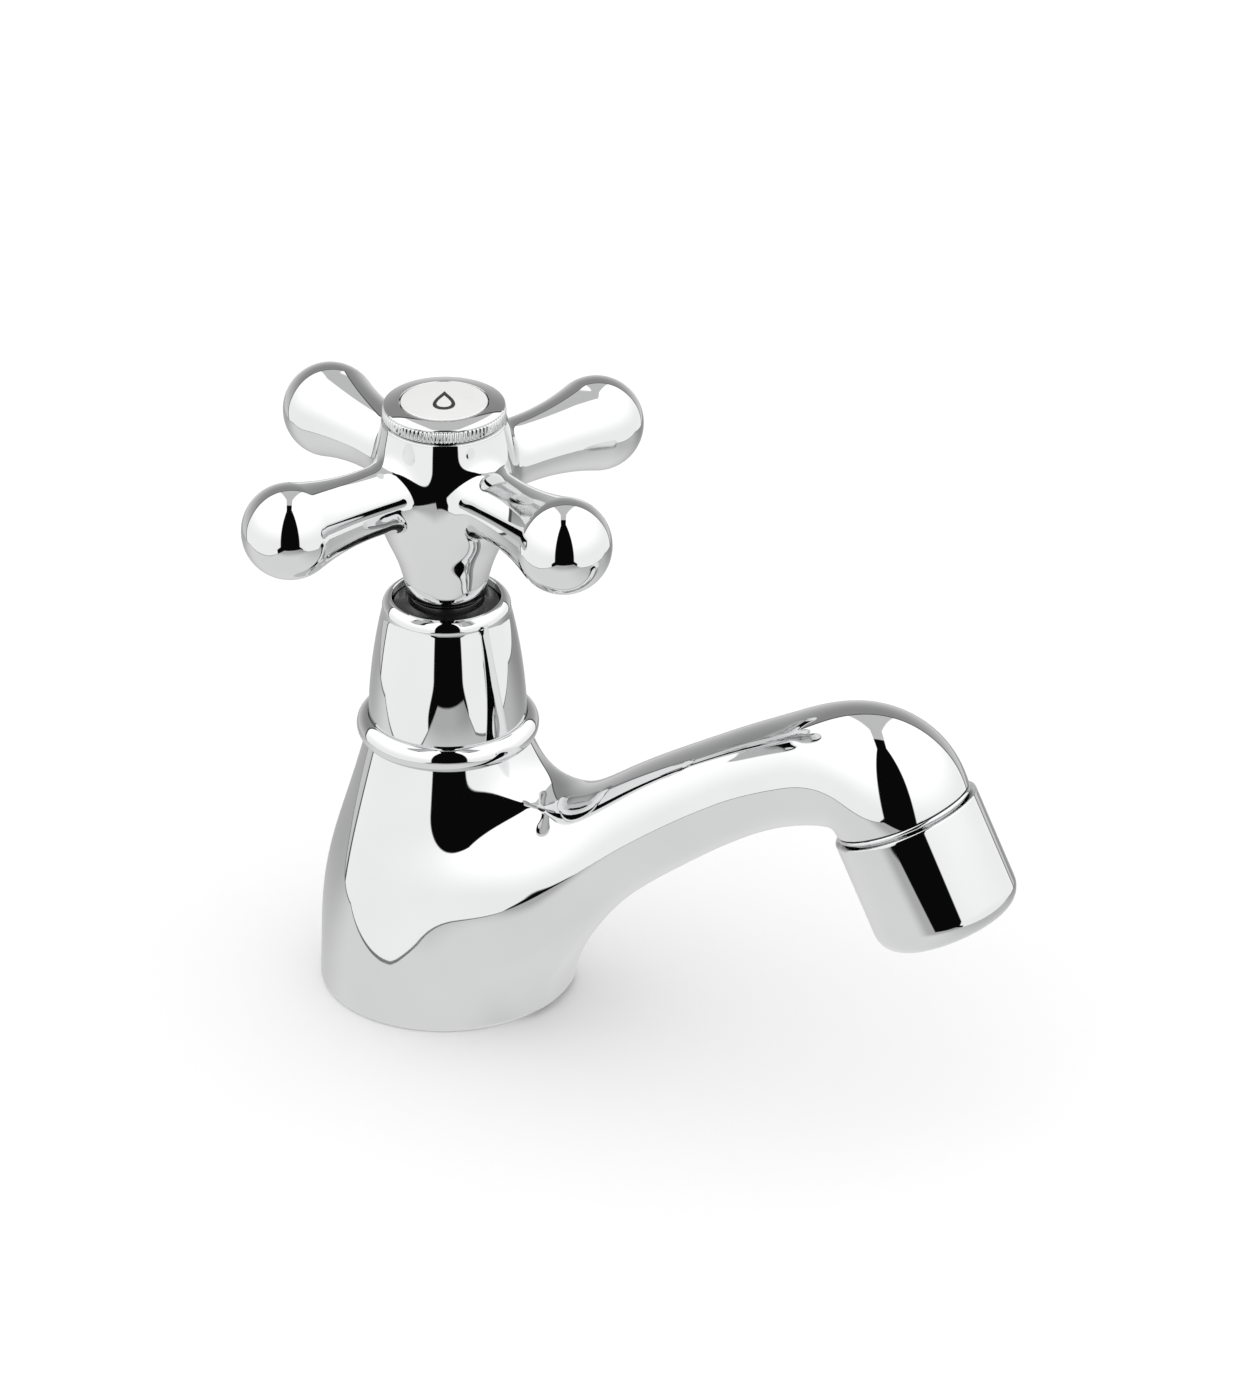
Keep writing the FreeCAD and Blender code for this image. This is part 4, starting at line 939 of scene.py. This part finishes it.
def make_world():
    """Soft light all round. Only reflections see the rest: a dark gap where the camera stands, and behind the
    tap a backdrop with an arched, dark-rimmed top, dimmer upwards, and a pale strip above it."""
    world = bpy.data.worlds.new("studio")
    scene.world = world
    world.use_nodes = True
    tree = world.node_tree
    tree.nodes.clear()

    def calc(kind, *values):
        return maths(tree, kind, *values)

    def below(value, low, high):
        return calc("SUBTRACT", 1.0, step_up(tree, value, low, high))

    axes = studio_axes(tree, "Generated")
    front = calc("MULTIPLY", axes["Y"], -1.0)
    azimuth = calc("MULTIPLY", calc("ARCTAN2", axes["X"], front), 180 / math.pi)
    elevation = calc("MULTIPLY", calc("ARCSINE", axes["Z"]), 180 / math.pi)
    around = calc("ABSOLUTE", calc("WRAP", calc("ADD", azimuth, ARCH_TURN), 180.0, -180.0))
    across, up = calc("DIVIDE", around, ARCH_HALF), calc("DIVIDE", calc("MAXIMUM", elevation, 0.0), ARCH_HIGH)
    arch = calc("SQRT", calc("ADD", calc("MULTIPLY", across, across), calc("MULTIPLY", up, up)))
    shade = calc("SUBTRACT", ARCH_LIGHT, calc("MULTIPLY", step_up(tree, elevation, *ARCH_FADE), ARCH_FALL))
    light = calc("ADD", WALL_LIGHT, calc("MULTIPLY", step_up(tree, elevation, *WALL_FADE), WALL_RISE))
    overhead = below(calc("ABSOLUTE", axes["X"]), *OVERHEAD_HALF)
    behind = below(calc("SUBTRACT", 180.0, calc("ABSOLUTE", azimuth)), *STRIP_HALF)
    light = blend_to(tree, light, STRIP_LIGHT, calc("MAXIMUM", behind, overhead))
    light = blend_to(tree, light, ARCH_RIM_LIGHT, below(arch, *ARCH_OUTSIDE))
    light = blend_to(tree, light, shade, below(arch, *ARCH_INSIDE))
    flare = calc("MULTIPLY", below(elevation, *FLARE_FADE), GAP_FLARE)
    beside = calc("SUBTRACT", calc("ABSOLUTE", calc("SUBTRACT", azimuth, GAP_TURN)), flare)
    ahead = calc("MULTIPLY", overhead, step_up(tree, front, *OVERHEAD_START))
    light = blend_to(tree, light, GAP_LIGHT, calc("MAXIMUM", below(beside, *GAP_HALF), ahead))
    path = tree.nodes.new("ShaderNodeLightPath")
    soft = calc("MAXIMUM", path.outputs["Is Camera Ray"], path.outputs["Is Diffuse Ray"])
    back = tree.nodes.new("ShaderNodeBackground")
    back.inputs["Color"].default_value = (1, 1, 1, 1)
    tree.links.new(blend_to(tree, light, PLAIN_LIGHT, soft), back.inputs["Strength"])
    out = tree.nodes.new("ShaderNodeOutputWorld")
    tree.links.new(back.outputs["Background"], out.inputs["Surface"])


# ---------------------------------------------------------------- camera

AIM_ASIDE, AIM_LEVEL = 28.63, 50.55    # the picture's middle, along the image's width and above the deck
CAMERA_AWAY = 1.292
SENSOR, PHOTO_HEIGHT, FOCAL_PIXELS = 36.0, 1400, 8000
CLIP_START = 0.05


def make_camera():
    aim = Vector((AIM_ASIDE * math.cos(CAMERA_TURN), AIM_ASIDE * math.sin(CAMERA_TURN), AIM_LEVEL)) * MM
    level = math.cos(CAMERA_TILT)
    away = Vector((math.sin(CAMERA_TURN) * level, -math.cos(CAMERA_TURN) * level, math.sin(CAMERA_TILT)))
    camera = bpy.data.cameras.new("camera")
    camera.sensor_width = SENSOR
    camera.lens = FOCAL_PIXELS / PHOTO_HEIGHT * SENSOR
    camera.clip_start = CLIP_START
    obj = bpy.data.objects.new("camera", camera)
    obj.location = aim + away * CAMERA_AWAY
    obj.rotation_euler = (-away).to_track_quat("-Z", "Y").to_euler()
    scene.collection.objects.link(obj)
    scene.camera = obj


make_floor()
make_table()
make_world()
make_camera()
scene.view_settings.view_transform = "Standard"
scene.view_settings.look = "None"
